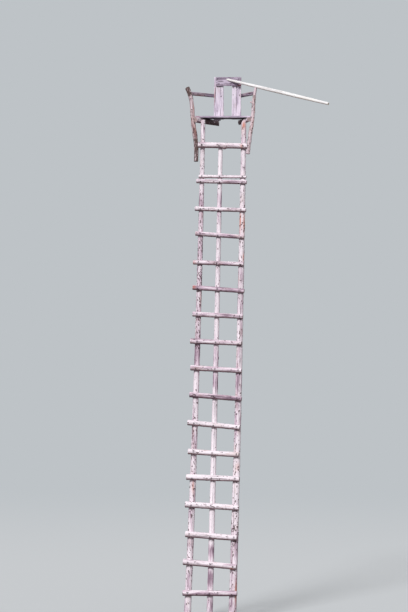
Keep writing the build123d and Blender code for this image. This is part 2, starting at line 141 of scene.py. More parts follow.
# Rungs and footrest, laid into notches of the poles
rungs = dict(
    pitch=0.335, clearance=0.300, lowRadius=0.039, highRadius=0.027, taper=0.10, overhang=0.052,
    overhangStray=0.010, leftSwing=2.3, rightSwing=1.7, rightSwingStart=2.0,
    notchDepth=0.010, flat=0.007, flatSpare=0.005, notchPlay=0.001, chamfer=0.002,
    strays=[0, 10, 15, 40, 45, 10, 15, 25, 25, 20, 15, 0, -15, -5, -20, -10],  # millimetres
    tilts=[1, -4, -3, -2.5, -1, -2.5, -4.5, -4, -2.5, -2, -2.5, -3.5, -2, -4, -1.5, -1.5],
    extraGap=0.016, extraRadius=0.020, extraTilt=-0.5, extraOverhang=0.026,
    step=0.0045, around=46, knots=5, knotSize=0.008, bark=0.15,
    tones={1: -0.06, 2: 0.10, 3: 0.24, 4: 0.42, 5: 0.46, 6: 0.46, 7: 0.42, 8: -0.10, 12: -0.22, 15: 0.08,
           17: 0.34},
    stains={12: [(0.015, -0.2, 0.026, 0.9, 0.6)], 13: [(0.012, 0.2, 0.028, 0.9, 0.4)],
            2: [(0.60, 0.9, 0.020, 0.6, 0.6)]},
)
footrest = dict(
    radius=0.036, tilt=-1.6, taper=0.08, knotShift=0.030, knotHeight=0.013, knotSize=0.017,
    step=0.0040, around=56,
)


def poleAt(pole, along):
    # Centre line and radius: a straight line from foot to head, bowed sideways by a parabola
    share = (along + stand["buried"]) / (pole["length"] + stand["buried"])
    across = blend(pole["foot"], pole["head"], share) + pole["bow"] * (1 - (2 * share - 1) ** 2)
    radius = blend(pole["footRadius"], pole["headRadius"], share)
    return onLadder(across, along, -radius), radius, across


def crossLog(along, tilt, radius, taper):
    slant = math.radians(tilt)
    drift = stand["headDrift"] * along / railLength
    crossings = []
    for pole in (poles["left_rail"], poles["centre_pole"], poles["right_rail"]):
        centre, poleRadius, across = poleAt(pole, along)
        crossings.append((across - drift, poleRadius))
    half = blend(stand["footSpread"], stand["headSpread"], along / railLength) / 2
    return dict(
        along=along, slant=slant, radius=radius, thin=radius * (1 - taper),
        seat=onLadder(drift, along, -rungs["notchDepth"]),
        ahead=math.cos(slant) * acrossLadder + math.sin(slant) * upLadder,
        above=math.cos(slant) * upLadder - math.sin(slant) * acrossLadder,
        centreOut=radius - rungs["flat"], crossings=crossings, leftEnd=half, rightEnd=half,
    )


def layRungs():
    count = int((footrestAlong - rungs["clearance"]) // rungs["pitch"])
    laid = []
    for number in range(count):
        stray = rungs["strays"][number % len(rungs["strays"])] / 1000
        tilt = rungs["tilts"][number % len(rungs["tilts"])]
        radius = blend(rungs["lowRadius"], rungs["highRadius"], number / (count - 1))
        log = crossLog((number + 1) * rungs["pitch"] + stray, tilt, radius, rungs["taper"])
        log["leftEnd"] += rungs["overhang"] + rungs["overhangStray"] * math.sin(rungs["leftSwing"] * number)
        log["rightEnd"] += rungs["overhang"] + rungs["overhangStray"] * math.sin(
            rungs["rightSwing"] * number + rungs["rightSwingStart"])
        laid.append(log)
    top = laid[-1]["along"] + laid[-1]["radius"] + rungs["extraGap"] + rungs["extraRadius"]
    extra = crossLog(top, rungs["extraTilt"], rungs["extraRadius"], rungs["taper"])
    extra["leftEnd"] += rungs["extraOverhang"]
    extra["rightEnd"] += rungs["overhang"]
    return laid + [extra]


rungLogs = layRungs()
footLog = crossLog(footrestAlong, footrest["tilt"], footrest["radius"], footrest["taper"])
headFront = onLadder(0.0, seatUnder / rise, 0.0)[1]
backFace = headFront + stand["seatDepth"]
boardFront = backFace - stand["board"]
supportMiddle = backFace + stand["board"] + stand["supportWidth"] / 2
armLevel = stand["seatHeight"] + stand["armHeight"]

# Side beams, posts, arm rails; a post's bark is its share low down, higher up and added at the tip
beams = dict(
    left_seat_beam=dict(side=-1, pole="left_rail", radius=0.034, reach=0.057, seed=51),
    right_seat_beam=dict(side=1, pole="right_rail", radius=0.028, reach=0.025, seed=52),
)
posts = dict(
    left_post=dict(
        beam="left_seat_beam", radius=0.029, swell=[0.90, 1.0, 1.03, 1.0, 0.95, 1.0], top=0.352, drop=0.207,
        tuck=0.053, armFlare=0.053, tipFlare=0.086, lap=0.003, seed=61,
        look=dict(bark=(0.85, 0.24, 0.6), proud=withinBox, tone=-0.05, warmth=0.04),
    ),
    right_post=dict(
        beam="right_seat_beam", radius=0.024, swell=[1.0, 1.0, 0.95, 0.9, 0.84, 0.66], top=0.350, drop=0.095,
        tuck=0.036, armFlare=0.020, tipFlare=0.030, lap=0.013, seed=67,
        look=dict(bark=(0.30, 0.34, 0.0), tone=0.20, warmth=0.02),
    ),
)
postFootBend = 0.005
postReach = 1.5  # half length of a post's flat, in its radii
arms = dict(thickness=0.030, depth=0.046, edge=0.009, cheek=0.006)


def setBeam(beam):
    side, radius = beam["side"], beam["radius"]
    pole = poles[beam["pole"]]
    level = seatUnder - (radius - stand["beamFlat"])
    railMiddle, railRadius, across = poleAt(pole, level / rise)
    atRail = np.array([railMiddle[0] + side * (railRadius + radius - stand["railLap"]), railMiddle[1], level])
    out = stand["supportWidth"] / 2 + radius - stand["supportCheek"]
    atSupport = np.array([stand["headDrift"] + side * out, supportMiddle, level])
    ahead = unit(atSupport - atRail)
    outward = np.cross(ahead, plumb * side)
    railCheek = (radius + railRadius - (atRail - railMiddle) @ outward) / 2
    beam.update(
        level=level, atRail=atRail, ahead=ahead, outward=outward,
        railSide=atRail - outward * (radius - railCheek), railWindow=(ahead, stand["railPatch"] / 2),
        start=atRail + ahead * ((headFront - beam["reach"] - atRail[1]) / ahead[1]),
        end=atRail + ahead * ((supportMiddle + stand["beamTail"] - atRail[1]) / ahead[1]),
    )


def setPost(post):
    beam = beams[post["beam"]]
    side, radius, slope = beam["side"], post["radius"], run / rise
    footMiddle = footLog["seat"] + offLadder * footLog["centreOut"]
    height = beam["level"] - footMiddle[2]
    backwards = footMiddle[1] + height * slope - beam["atRail"][1]
    onBeam = beam["atRail"] + beam["ahead"] * (backwards / beam["ahead"][1])
    cheek = beam["radius"] - stand["beamCheek"]
    atBeam = onBeam + beam["outward"] * (cheek + radius - stand["beamCheek"])
    atPost = (atBeam - beam["start"]) @ beam["ahead"]
    postSide = beam["start"] + beam["ahead"] * atPost + beam["outward"] * cheek
    beam.update(atPost=atPost, postSide=postSide, postWindow=(beam["ahead"], postReach * radius))
    across = (atBeam[0] - side * post["tuck"] - footMiddle[0]) / math.cos(footLog["slant"])
    atFootrest = footMiddle + footLog["ahead"] * across
    end = abs(across) - (radius - post["lap"])
    foot = atFootrest + np.array([-side * postFootBend, -post["drop"] * slope, -post["drop"]])
    up = armLevel - beam["level"]
    atArm = atBeam + np.array([side * post["armFlare"], up * slope, up])
    up = stand["seatHeight"] + post["top"] - beam["level"]
    tip = atBeam + np.array([side * post["tipFlare"], up * slope, up])
    post.update(side=side, atBeam=atBeam, atArm=atArm, tip=tip, footrestEnd=end,
                line=np.array([foot, atFootrest, atBeam, atArm, tip]))
    post["radiusNear"] = lambda z: radius * np.interp(
        (z - foot[2]) / (tip[2] - foot[2]), np.linspace(0, 1, len(post["swell"])), post["swell"])
    inner = blend(atBeam[0], atArm[0], (seatUnder - atBeam[2]) / (atArm[2] - atBeam[2])) - side * radius
    post["seatEnd"] = inner - side * stand["sidePlay"]
    atSupport = np.array([stand["headDrift"] + side * (stand["supportWidth"] + arms["thickness"]) / 2,
                          supportMiddle, armLevel])
    ahead = unit(atSupport - atArm)
    start = atArm + ahead * (post["radiusNear"](armLevel) - arms["cheek"])
    post["arm"] = dict(start=start, ahead=ahead, length=np.linalg.norm(atSupport - start) + stand["beamTail"])


for beam in beams.values():
    setBeam(beam)
for post in posts.values():
    setPost(post)
footLog["leftEnd"] = posts["left_post"]["footrestEnd"]
footLog["rightEnd"] = posts["right_post"]["footrestEnd"]
print("stand laid out:", len(rungLogs), "rungs")


# Surfaces: every piece is a profile carried along a path, in whole arrays
def wavesOver(along, around, seed, count, longest, shortest, lobes):
    # Sum of sine waves, each with its own wavelength along the log, whole number of lobes and phase
    dice = np.random.default_rng(seed)
    total = np.zeros(np.broadcast(along, around).shape)
    for wave in range(count):
        pitch = longest * (shortest / longest) ** dice.random()
        lobe = dice.integers(-lobes, lobes + 1)
        size = dice.uniform(0.4, 1.0)
        total += size * np.sin(2 * np.pi * along / pitch + lobe * around + dice.uniform(0, 2 * np.pi))
    return total / math.sqrt(count)


def ease(value, low, high):
    share = np.clip((value - low) / (high - low), 0, 1)
    return share * share * (3 - 2 * share)


def bellsAt(along, spots):
    # Sum of bell curves, each given as (place, spread, height)
    return sum(height * np.exp(-((along - place) / spread) ** 2) for place, spread, height in spots)


logLook = dict(
    ripple=0.0005, barkThick=0.0018, barkScales=0.0005, barkFrom=1.15, barkTo=1.55, rustSize=0.009,
    crackWander=0.05, crackTurns=9, crackRun=0.25, crowding=0.72, skewRun=0.15, saw=0.0004, dip=0.004,
)
plainLog = dict(
    start=0.0, oval=0.025, lump=0.022, twist=0.25, proud=0.0, drip=0, tone=0.0, warmth=0.0,
    flats=[], edges=[], cracks=[], stains=[], nails=[], knots=[], shades=[],
)
grainShift = 3.7  # along the grain, from one seed to the next
sharpAngle = dict(wood=42, nail=50)
capRings = np.array([0.94, 0.82, 0.66, 0.48, 0.30, 0.13])


def gather(*values):
    # Numbers and arrays of one shape, side by side in a last axis
    return np.stack(np.broadcast_arrays(*values), -1)


def crackMiddle(crack, along, seed):
    start, end, middle, twist, width, depth = crack
    wander = logLook["crackWander"] * np.sin(along * logLook["crackTurns"] + seed)
    return middle + twist * (along - start) + wander


def logShape(log, along, around):
    # Radius = taper, then an oval, slow lumps and ripples, knots that stand out with a dimpled middle,
    # thin patches of bark, and drying cracks that are V-shaped across and fade out at both ends
    seed, base = log["seed"], log["radiusAt"](along)

    def waves(shift, *settings):
        return wavesOver(along, around, seed + shift, *settings)

    radius = base * (1 + log["oval"] * np.cos(2 * around + seed) + log["lump"] * waves(0, 9, 1.1, 0.14, 2))
    radius = radius + logLook["ripple"] * waves(1, 14, 0.16, 0.018, 9)
    knot = gap = stain = iron = np.zeros(radius.shape)
    for knotAlong, knotAround, size, height in log["knots"]:
        far = np.hypot(along - knotAlong, base * turnGap(around - knotAround)) / size
        radius = radius + height * (np.exp(-0.8 * far ** 2) - 0.35 * np.exp(-(far / 0.35) ** 2))
        knot = np.maximum(knot, np.exp(-(far / 0.85) ** 4))
    patches = waves(2, 22, 0.42, 0.05, 9) + 0.45 * waves(7, 16, 0.06, 0.02, 14)
    bark = ease(patches + 2.2 * log["barkAt"](along), logLook["barkFrom"], logLook["barkTo"])
    scales = logLook["barkScales"] * waves(3, 12, 0.05, 0.015, 12)
    radius = radius + bark * (logLook["barkThick"] + scales) + log["proud"]
    for crack in log["cracks"]:
        start, end, middle, twist, width, depth = crack
        share = np.clip((along - start) / (end - start), 0, 1)
        fade = np.sqrt(1 - (2 * share - 1) ** 2) * (0.75 + 0.25 * np.sin(along * 23 + seed))
        away = np.abs(base * turnGap(around - crackMiddle(crack, along, seed)))
        groove = np.clip(1 - away / np.maximum(width * fade, 1e-5), 0, 1)
        radius = radius - depth * fade * groove
        # the gap mask paints the groove dark: partly darker wood inside the crack, partly painted shade
        gap = np.maximum(gap, ease(groove, 0.0, 0.6) * (fade > 0.02))
    for spotAlong, spotAround, length, width, strength in log["stains"]:
        far = ((along - spotAlong) / length) ** 2 + (turnGap(around - spotAround) / width) ** 2
        stain = np.maximum(stain, strength * np.exp(-far))
    for nailAlong, nailAround in log["nails"]:
        across = base * turnGap(around - nailAround)
        drip = 1 + 1.6 * (across > 0) * log["drip"]
        far = np.hypot(along - nailAlong, across / drip) / logLook["rustSize"]
        iron = np.maximum(iron, np.exp(-far ** 2))
    return radius, (knot, gap, iron), (stain, bark)


def capRows(rows):
    # Rows of the two end faces: the end row again, on ever smaller rings
    first, last = np.full(len(capRings), rows[0]), np.full(len(capRings), rows[-1])
    along = np.concatenate([first, rows, last])
    shrink = np.concatenate([capRings[::-1], np.ones(len(rows)), capRings])
    face = np.concatenate([-np.ones(len(capRings)), np.zeros(len(rows)), np.ones(len(capRings))])
    return along, shrink[:, None], face[:, None]


def rowsAlong(start, end, step, edges):
    # Even steps with two rows at each edge of a flat, so that it starts sharply
    lip, beside, closest = 0.002, 0.0004, 0.0003
    rows = [np.linspace(start, end, int((end - start) / step)), [start + lip, end - lip]]
    for edge in edges:
        rows.append([edge - beside, edge + beside])
    rows = np.unique(np.clip(np.concatenate(rows), start, end))
    return rows[np.concatenate([[True], np.diff(rows) > closest])]


def flatAt(origin, normal, *window):
    # The window holds (direction, half width) pairs
    return dict(origin=origin, normal=normal, window=window)


def shave(points, flats):
    # What stands proud of a flat is pushed back to its plane, inside the flat's own window
    for flat in flats:
        fromFlat = points - flat["origin"]
        proud = fromFlat @ flat["normal"]
        inside = proud > 0
        for direction, half in flat["window"]:
            inside &= np.abs(fromFlat @ direction) <= half
        points = points - np.where(inside, proud, 0)[..., None] * flat["normal"]
    return points


def fan(tips, first, second):
    return gather(tips, first, second).reshape(-1, 3)


def showPiece(name, mesh):
    piece = bpy.data.objects.new(name, mesh)
    bpy.context.scene.collection.objects.link(piece)
    return piece


def makeTubes(name, rings, tips, sharp):
    # Closed tubes from rings (tube, row, column) and the middles of both end faces (tube, end):
    # quads between neighbouring rows and columns, and a fan of triangles over each end
    many, rows, columns = rings.shape[:3]
    index = np.arange(many * rows * columns).reshape(many, rows, columns)
    after = np.roll(index, -1, axis=2)
    quads = np.stack([index[:, :-1], after[:, :-1], after[:, 1:], index[:, 1:]], -1).reshape(-1, 4)
    tip = index.size + 2 * np.arange(many)[:, None]
    fans = np.concatenate([fan(tip, after[:, 0], index[:, 0]), fan(tip + 1, index[:, -1], after[:, -1])])
    vertices = np.concatenate([rings.reshape(-1, 3), tips.reshape(-1, 3)])
    starts = np.concatenate([np.arange(len(quads)) * 4, quads.size + np.arange(len(fans)) * 3])
    mesh = bpy.data.meshes.new(name)
    mesh.vertices.add(len(vertices))
    mesh.vertices.foreach_set("co", vertices.astype(np.float32).ravel())
    mesh.loops.add(quads.size + fans.size)
    mesh.loops.foreach_set("vertex_index", np.concatenate([quads.ravel(), fans.ravel()]).astype(np.int32))
    mesh.polygons.add(len(starts))
    mesh.polygons.foreach_set("loop_start", starts.astype(np.int32))
    mesh.update(calc_edges=True)
    mesh.validate()
    mesh.shade_smooth()
    mesh.set_sharp_from_angle(angle=math.radians(sharp))
    return showPiece(name, mesh)


def undersideShadeOf(points):
    # How much each point looks down, from the cross product of the grid's two directions; the wood is painted
    # darker by this much as painted underside shade
    aroundStep = np.roll(points, -1, axis=1) - np.roll(points, 1, axis=1)
    alongStep = np.gradient(points, axis=0)
    normal = np.cross(aroundStep, alongStep)
    normal /= np.maximum(np.linalg.norm(normal, axis=-1, keepdims=True), 1e-9)
    return np.clip(-normal[..., 2], -1, 1)


def endMeans(values):
    return np.stack([values[0].mean(0), values[-1].mean(0)])


def wrapPiece(name, node, slot, points, bright, warmth, **layers):
    points = np.clip(points, *cadBox)
    piece = makeTubes(name, points[None], endMeans(points), sharpAngle["wood"])
    # the tone layer holds brightness, warmth and how much the surface faces down, which drives the painted
    # underside shade
    layers["tone"] = gather(bright, warmth, undersideShadeOf(points))
    for layer, values in layers.items():
        attribute = piece.data.attributes.new(layer, "FLOAT_VECTOR", "POINT")
        values = np.concatenate([values.reshape(-1, 3), endMeans(values)])
        attribute.data.foreach_set("vector", values.astype(np.float32).ravel())
    piece.data.materials.append(materials[slot])
    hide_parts(node)
    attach(piece, "root")


def makeLog(name, slot, **given):
    log = {**plainLog, "node": name, **given}
    along, shrink, face = capRows(rowsAlong(log["start"], log["end"], log["step"], log["edges"]))
    # the grid's columns crowd at the main crack, so that its groove is sharp
    turn = np.linspace(-np.pi, np.pi, log["around"], endpoint=False)
    around = turn - logLook["crowding"] * np.sin(turn)
    main, spare = np.zeros(len(along)), logLook["crackRun"]
    for crack in log["cracks"]:
        start, end = crack[:2]
        here = (along >= start - spare) & (along <= end + spare)
        path = crackMiddle(crack, np.clip(along, start, end), log["seed"])
        fade = ease(np.minimum(along - start, end - along), -spare, 0.0)
        main = np.where(here, main + (path - main) * fade, main)
    around = around[None] + main[:, None]
    grid = along[:, None] + np.zeros(around.shape)
    radius, marks, cover = logShape(log, grid, around)
    edge = np.minimum(along - log["start"], log["end"] - along)[:, None]
    reach = (radius - rungs["chamfer"] * np.clip(1 - edge / rungs["chamfer"], 0, 1)) * shrink
    out, aside = reach * np.cos(around), reach * np.sin(around)
    # end faces: a shallow dip towards the crack and fine saw marks
    saw = logLook["saw"] * np.sin(out * 900 + 3 * np.sin(aside * 160))
    shift = -(logLook["dip"] * marks[1] * shrink + saw) * (face != 0) * face
    for skew, inward in (("startSkew", along - log["start"]), ("endSkew", log["end"] - along)):
        if skew in log:
            shift = shift + log[skew](out, aside) * np.clip(1 - inward / logLook["skewRun"], 0, 1)[:, None]
    if "slantAt" in log:
        shift = shift + aside * log["slantAt"](along)[:, None]
    centre, ahead, front = log["pathAt"](along)
    points = centre[:, None]
    for size, direction in ((out, front), (aside, np.cross(ahead, front)), (shift, ahead)):
        points = points + size[..., None] * direction[:, None]
    base, twisted = log["radiusAt"](grid) * shrink, around + log["twist"] * grid
    bright = log["tone"] + bellsAt(grid, log["shades"])
    wrapPiece(name, log["node"], slot, shave(points, log["flats"]), bright, log["warmth"],
              grain=gather(base * np.cos(twisted), base * np.sin(twisted), grid + grainShift * log["seed"]),
              marks=gather(*marks), cover=gather(*cover, face != 0))
    return log


def straightPath(start, ahead, front):
    def pathAt(along):
        many = len(along)
        return start + np.multiply.outer(along, ahead), np.tile(ahead, (many, 1)), np.tile(front, (many, 1))
    return pathAt


def splinePath(knots, front):
    # Natural cubic spline through the points, over the distance between them, walked by its arc length
    steps = np.concatenate([[0], np.cumsum(np.linalg.norm(np.diff(knots, axis=0), axis=1))])
    count, gaps = len(knots), np.diff(steps)
    matrix, right = np.eye(count), np.zeros((count, 3))
    for row in range(1, count - 1):
        matrix[row, row - 1:row + 2] = gaps[row - 1], 2 * (gaps[row - 1] + gaps[row]), gaps[row]
        right[row] = 6 * ((knots[row + 1] - knots[row]) / gaps[row]
                          - (knots[row] - knots[row - 1]) / gaps[row - 1])
    bends = np.linalg.solve(matrix, right)
    fine = np.linspace(0, steps[-1], 400)
    part = np.clip(np.searchsorted(steps, fine, side="right") - 1, 0, count - 2)
    gap = gaps[part][:, None]
    back, ahead = (steps[part + 1] - fine)[:, None], (fine - steps[part])[:, None]
    line = (bends[part] * back ** 3 + bends[part + 1] * ahead ** 3) / (6 * gap)
    line += (knots[part] / gap - bends[part] * gap / 6) * back
    line += (knots[part + 1] / gap - bends[part + 1] * gap / 6) * ahead
    walked = np.concatenate([[0], np.cumsum(np.linalg.norm(np.diff(line, axis=0), axis=1))])
    slope = np.gradient(line, walked, axis=0)

    def pathAt(along):
        centre, tangent = (np.stack([np.interp(along, walked, values[:, k]) for k in range(3)], -1)
                           for values in (line, slope))
        tangent = unitRows(tangent)
        return centre, tangent, unitRows(front - tangent * (tangent @ front)[:, None])
    return pathAt, walked[-1]


def whorlKnots(seed, start, end, whorls, size, height):
    # Branch knots stand in whorls, two to four round the log at about the same place
    dice = np.random.default_rng(seed)
    knots = []
    for place in np.linspace(start, end, whorls + 2)[1:-1]:
        place += dice.uniform(-0.3, 0.3) * (end - start) / (whorls + 1)
        turn = dice.uniform(-np.pi, np.pi)
        for branch in range(dice.integers(2, 5)):
            knots.append((place + dice.uniform(-0.02, 0.02), turn + branch * 1.9 + dice.uniform(-0.3, 0.3),
                          size * dice.uniform(0.6, 1.25), height * dice.uniform(0.3, 1.1)))
    return knots


# Wood
def paint(red, green, blue):
    # Screen colour (0 to 255) as the shader's linear colour
    levels = [level / 255 for level in (red, green, blue)]
    linear = [level / 12.92 if level <= 0.04045 else ((level + 0.055) / 1.055) ** 2.4 for level in levels]
    return (*linear, 1.0)


# Each wood's shade colour is painted shade, multiplied onto the surfaces that face down
woods = dict(
    weathered_log=dict(
        light=(254, 242, 250), middle=(218, 194, 210), dark=(150, 124, 142),
        warm=(206, 176, 168), stain=(206, 112, 72), bark=(104, 82, 84), knot=(58, 40, 44),
        gap=(38, 26, 34), end=(188, 164, 158), streak=(70, 4.0),
        shade=(146, 120, 122), rough=0.82, checks=0.8, specks=0.75,
    ),
    weathered_board=dict(
        light=(240, 229, 243), middle=(212, 198, 217), dark=(158, 141, 162),
        warm=(198, 174, 176), stain=(158, 74, 58), bark=(120, 98, 98), knot=(66, 48, 56),
        gap=(44, 32, 42), end=(176, 156, 160), streak=(95, 3.0),
        shade=(92, 76, 84), rough=0.8, checks=0.9, specks=0.35,
    ),
    bark_post=dict(
        light=(232, 212, 220), middle=(194, 170, 176), dark=(130, 106, 112),
        warm=(190, 150, 134), stain=(178, 112, 84), bark=(92, 72, 66), knot=(50, 36, 38),
        gap=(34, 24, 28), end=(168, 140, 128), streak=(60, 4.5),
        shade=(176, 156, 150), rough=0.86, checks=0.8, specks=0.8,
    ),
    peeled_pole=dict(
        light=(250, 249, 250), middle=(240, 238, 240), dark=(220, 212, 212),
        warm=(238, 228, 214), stain=(214, 176, 140), bark=(176, 148, 124),
        knot=(150, 118, 96), gap=(130, 110, 102), end=(232, 212, 180), streak=(60, 3.0),
        shade=(226, 214, 206), rough=0.6, checks=0.2, specks=0.2,
    ),
)


def isSocket(value):
    return isinstance(value, bpy.types.NodeSocket)


def addNode(kind, inputs=None, graph=None, **settings):
    # Without a graph given, the node joins the one that its inputs come from
    inputs = inputs or {}
    graph = graph or next(value.id_data for value in inputs.values() if isSocket(value))
    made = graph.nodes.new(kind)
    for setting, value in settings.items():
        setattr(made, setting, value)
    for socket, value in inputs.items():
        if isSocket(value):
            graph.links.new(value, made.inputs[socket])
        else:
            made.inputs[socket].default_value = value
    return made


def compute(how, first, second=0.0):
    return addNode("ShaderNodeMath", {0: first, 1: second}, operation=how).outputs[0]


def plus(first, second):
    return compute("ADD", first, second)


def minus(first, second):
    return compute("SUBTRACT", first, second)


def times(first, second):
    return compute("MULTIPLY", first, second)


def fromMiddle(value):
    return compute("ABSOLUTE", minus(value, 0.5))


def ramp(value, low, high, outLow=0.0, outHigh=1.0):
    inputs = {"Value": value, "From Min": low, "From Max": high, "To Min": outLow, "To Max": outHigh}
    return addNode("ShaderNodeMapRange", inputs, interpolation_type="SMOOTHSTEP").outputs["Result"]


def mixPaint(share, under, over, how="MIX"):
    inputs = {0: share, 6: under, 7: over}
    return addNode("ShaderNodeMix", inputs, data_type="RGBA", blend_type=how).outputs[2]


def vectorNode(how, output, *vectors):
    return addNode("ShaderNodeVectorMath", dict(enumerate(vectors)), operation=how).outputs[output]


def noiseOf(vector, scale, detail, rough=0.5):
    inputs = {"Vector": vector, "Scale": scale, "Detail": detail, "Roughness": rough}
    return addNode("ShaderNodeTexNoise", inputs).outputs["Fac"]


def readLayer(graph, layer):
    settings = dict(attribute_name=layer, attribute_type="GEOMETRY")
    return addNode("ShaderNodeAttribute", graph=graph, **settings).outputs["Vector"]


def splitLayer(graph, layer):
    return addNode("ShaderNodeSeparateXYZ", {0: readLayer(graph, layer)}).outputs


def newMaterial(name):
    material = bpy.data.materials.new(name)
    material.use_nodes = True
    return material, material.node_tree


def setSurface(material, colour, roughness, height, strength, distance):
    graph = material.node_tree
    shader = graph.nodes["Principled BSDF"]
    bump = addNode("ShaderNodeBump", {"Height": height, "Strength": strength, "Distance": distance})
    for source, socket in ((colour, "Base Color"), (roughness, "Roughness"), (bump.outputs[0], "Normal")):
        graph.links.new(source, shader.inputs[socket])
    return shader


# Noise that is fine across the grain and long along it:
# scale across and along (per metre), detail, roughness, shift
noises = dict(
    blotches=(20.0, 4.0, 3.0, 0.6, 7.3), fibres=(420.0, 11.0, 3.0, 0.6, 2.1),
    hairs=(130.0, 3.2, 1.0, 0.5, 5.7), specks=(120.0, 46.0, 2.0, 0.5, 9.1), warmth=(19.0, 5.0, 2.0, 0.5, 4.4),
    scales=(170.0, 60.0, 3.0, 0.6, 1.7), ragged=(230.0, 38.0, 3.0, 0.6, 3.3),
)
ringTurns = 2100.0  # radians per metre from the pith
nailStain = paint(58, 44, 62)


def woodMaterial(name):
    wood = {part: paint(*value) if np.size(value) == 3 else value for part, value in woods[name].items()}
    material, graph = newMaterial(name)
    grain = readLayer(graph, "grain")
    knot, gap, iron = splitLayer(graph, "marks")
    stain, bark, end = splitLayer(graph, "cover")
    # under: how much the surface faces down, for the painted underside shade
    bright, warmth, under = splitLayer(graph, "tone")

    def grainNoise(across, along, detail, rough, shift):
        inputs = {"Vector": grain, "Location": [shift] * 3, "Scale": (across, across, along)}
        return noiseOf(addNode("ShaderNodeMapping", inputs).outputs[0], 1.0, detail, rough)

    streaks = grainNoise(*wood["streak"], 4.0, 0.6, 0.0)
    noise = {kind: grainNoise(*settings) for kind, settings in noises.items()}

    weather = minus(plus(times(streaks, 1.1), times(noise["blotches"], 1.2)), bright)
    # lighter stretches are smoother: fewer dark fibres and checks
    worn = ramp(bright, 0.15, 0.8, 1.0, 0.25)
    # hairline checks: a narrow band of the stretched noise, painted in the gap colour: partly darker wood,
    # partly painted shade
    check = times(ramp(fromMiddle(noise["hairs"]), 0.022, 0.004), ramp(noise["blotches"], 0.42, 0.6))
    check = times(times(check, wood["checks"]), worn)
    # end grain: rings round the pith, and splits that run out from it
    flat = vectorNode("MULTIPLY", 0, grain, (1.0, 1.0, 0.0))
    far = plus(vectorNode("LENGTH", "Value", flat), times(noiseOf(flat, 45.0, 0.0), 0.0022))
    rings = compute("SINE", times(far, ringTurns))
    endPaint = mixPaint(ramp(rings, -0.4, 1.0, 0.0, 0.75), wood["end"], wood["dark"])
    spokes = fromMiddle(noiseOf(vectorNode("NORMALIZE", 0, flat), 3.2, 1.0))
    split = times(ramp(spokes, 0.014, 0.003), ramp(far, 0.004, 0.012))
    endPaint = mixPaint(split, endPaint, wood["gap"])
    # bark with ragged edges: the layer's slope broken up by noise along the grain
    barkPaint = mixPaint(ramp(noise["scales"], 0.3, 0.7, 0.0, 0.6), wood["bark"], wood["knot"])
    ragged = plus(bark, times(noise["ragged"], 0.9))
    knotty = plus(knot, times(minus(noise["scales"], 0.5), 0.7))
    coats = [
        (ramp(weather, 1.24, 1.54), wood["dark"]),
        (ramp(plus(noise["warmth"], warmth), 0.52, 0.78, 0.0, 0.55), wood["warm"]),
        (times(ramp(noise["fibres"], 0.3, 0.75, 0.0, 0.3), worn), wood["dark"]),
        (check, wood["gap"]),
        (times(ramp(noise["specks"], 0.66, 0.74), wood["specks"]), wood["knot"]),
        (end, endPaint),
        (ramp(under, 0.0, 0.75, 0.0, 0.95), wood["shade"], "MULTIPLY"),  # painted shade on the surfaces that face down
        (times(stain, ramp(streaks, 0.25, 0.6, 0.35, 1.0)), wood["stain"]),
        (ramp(ragged, 0.82, 1.0, 0.0, 0.92), barkPaint),
        (ramp(knotty, 0.35, 0.75, 0.0, 0.9), wood["knot"]),
        (times(iron, 0.75), nailStain),
        # cracks in the gap colour: partly darker wood, partly painted shade in the groove
        (times(gap, 0.95), wood["gap"]),
    ]
    colour = mixPaint(ramp(weather, 1.02, 1.28), wood["light"], wood["middle"])
    for share, over, *how in coats:
        colour = mixPaint(share, colour, over, *how)

    roughness = ramp(noise["fibres"], 0.2, 0.8, wood["rough"] - 0.08, min(wood["rough"] + 0.1, 1.0))
    height = plus(minus(times(noise["fibres"], 0.5), check), times(streaks, 0.6))
    shader = setSurface(material, colour, roughness, height, strength=0.7, distance=0.0015)
    shader.inputs["Specular IOR Level"].default_value = 0.3
    return material


materials = {name: woodMaterial(name) for name in woods}
print("wood materials made")


nailSpots = []  # (point, outward, size) of every head


def driveNails(log, start, ahead, front, nails, size):
    # Each head sits on the log's own surface, bumps and cracks included
    for nailAlong, nailAround in nails:
        radius = logShape(log, np.array([[nailAlong]]), np.array([[nailAround]]))[0][0, 0]
        outward = math.cos(nailAround) * front + math.sin(nailAround) * np.cross(ahead, front)
        nailSpots.append((start + ahead * nailAlong + outward * radius, outward, size))


# The three poles
poleLook = dict(step=0.0058, knotHeight=0.0035, barkSway=0.2, barkTurns=2.1, twistSpan=0.07, twistHold=1.6)


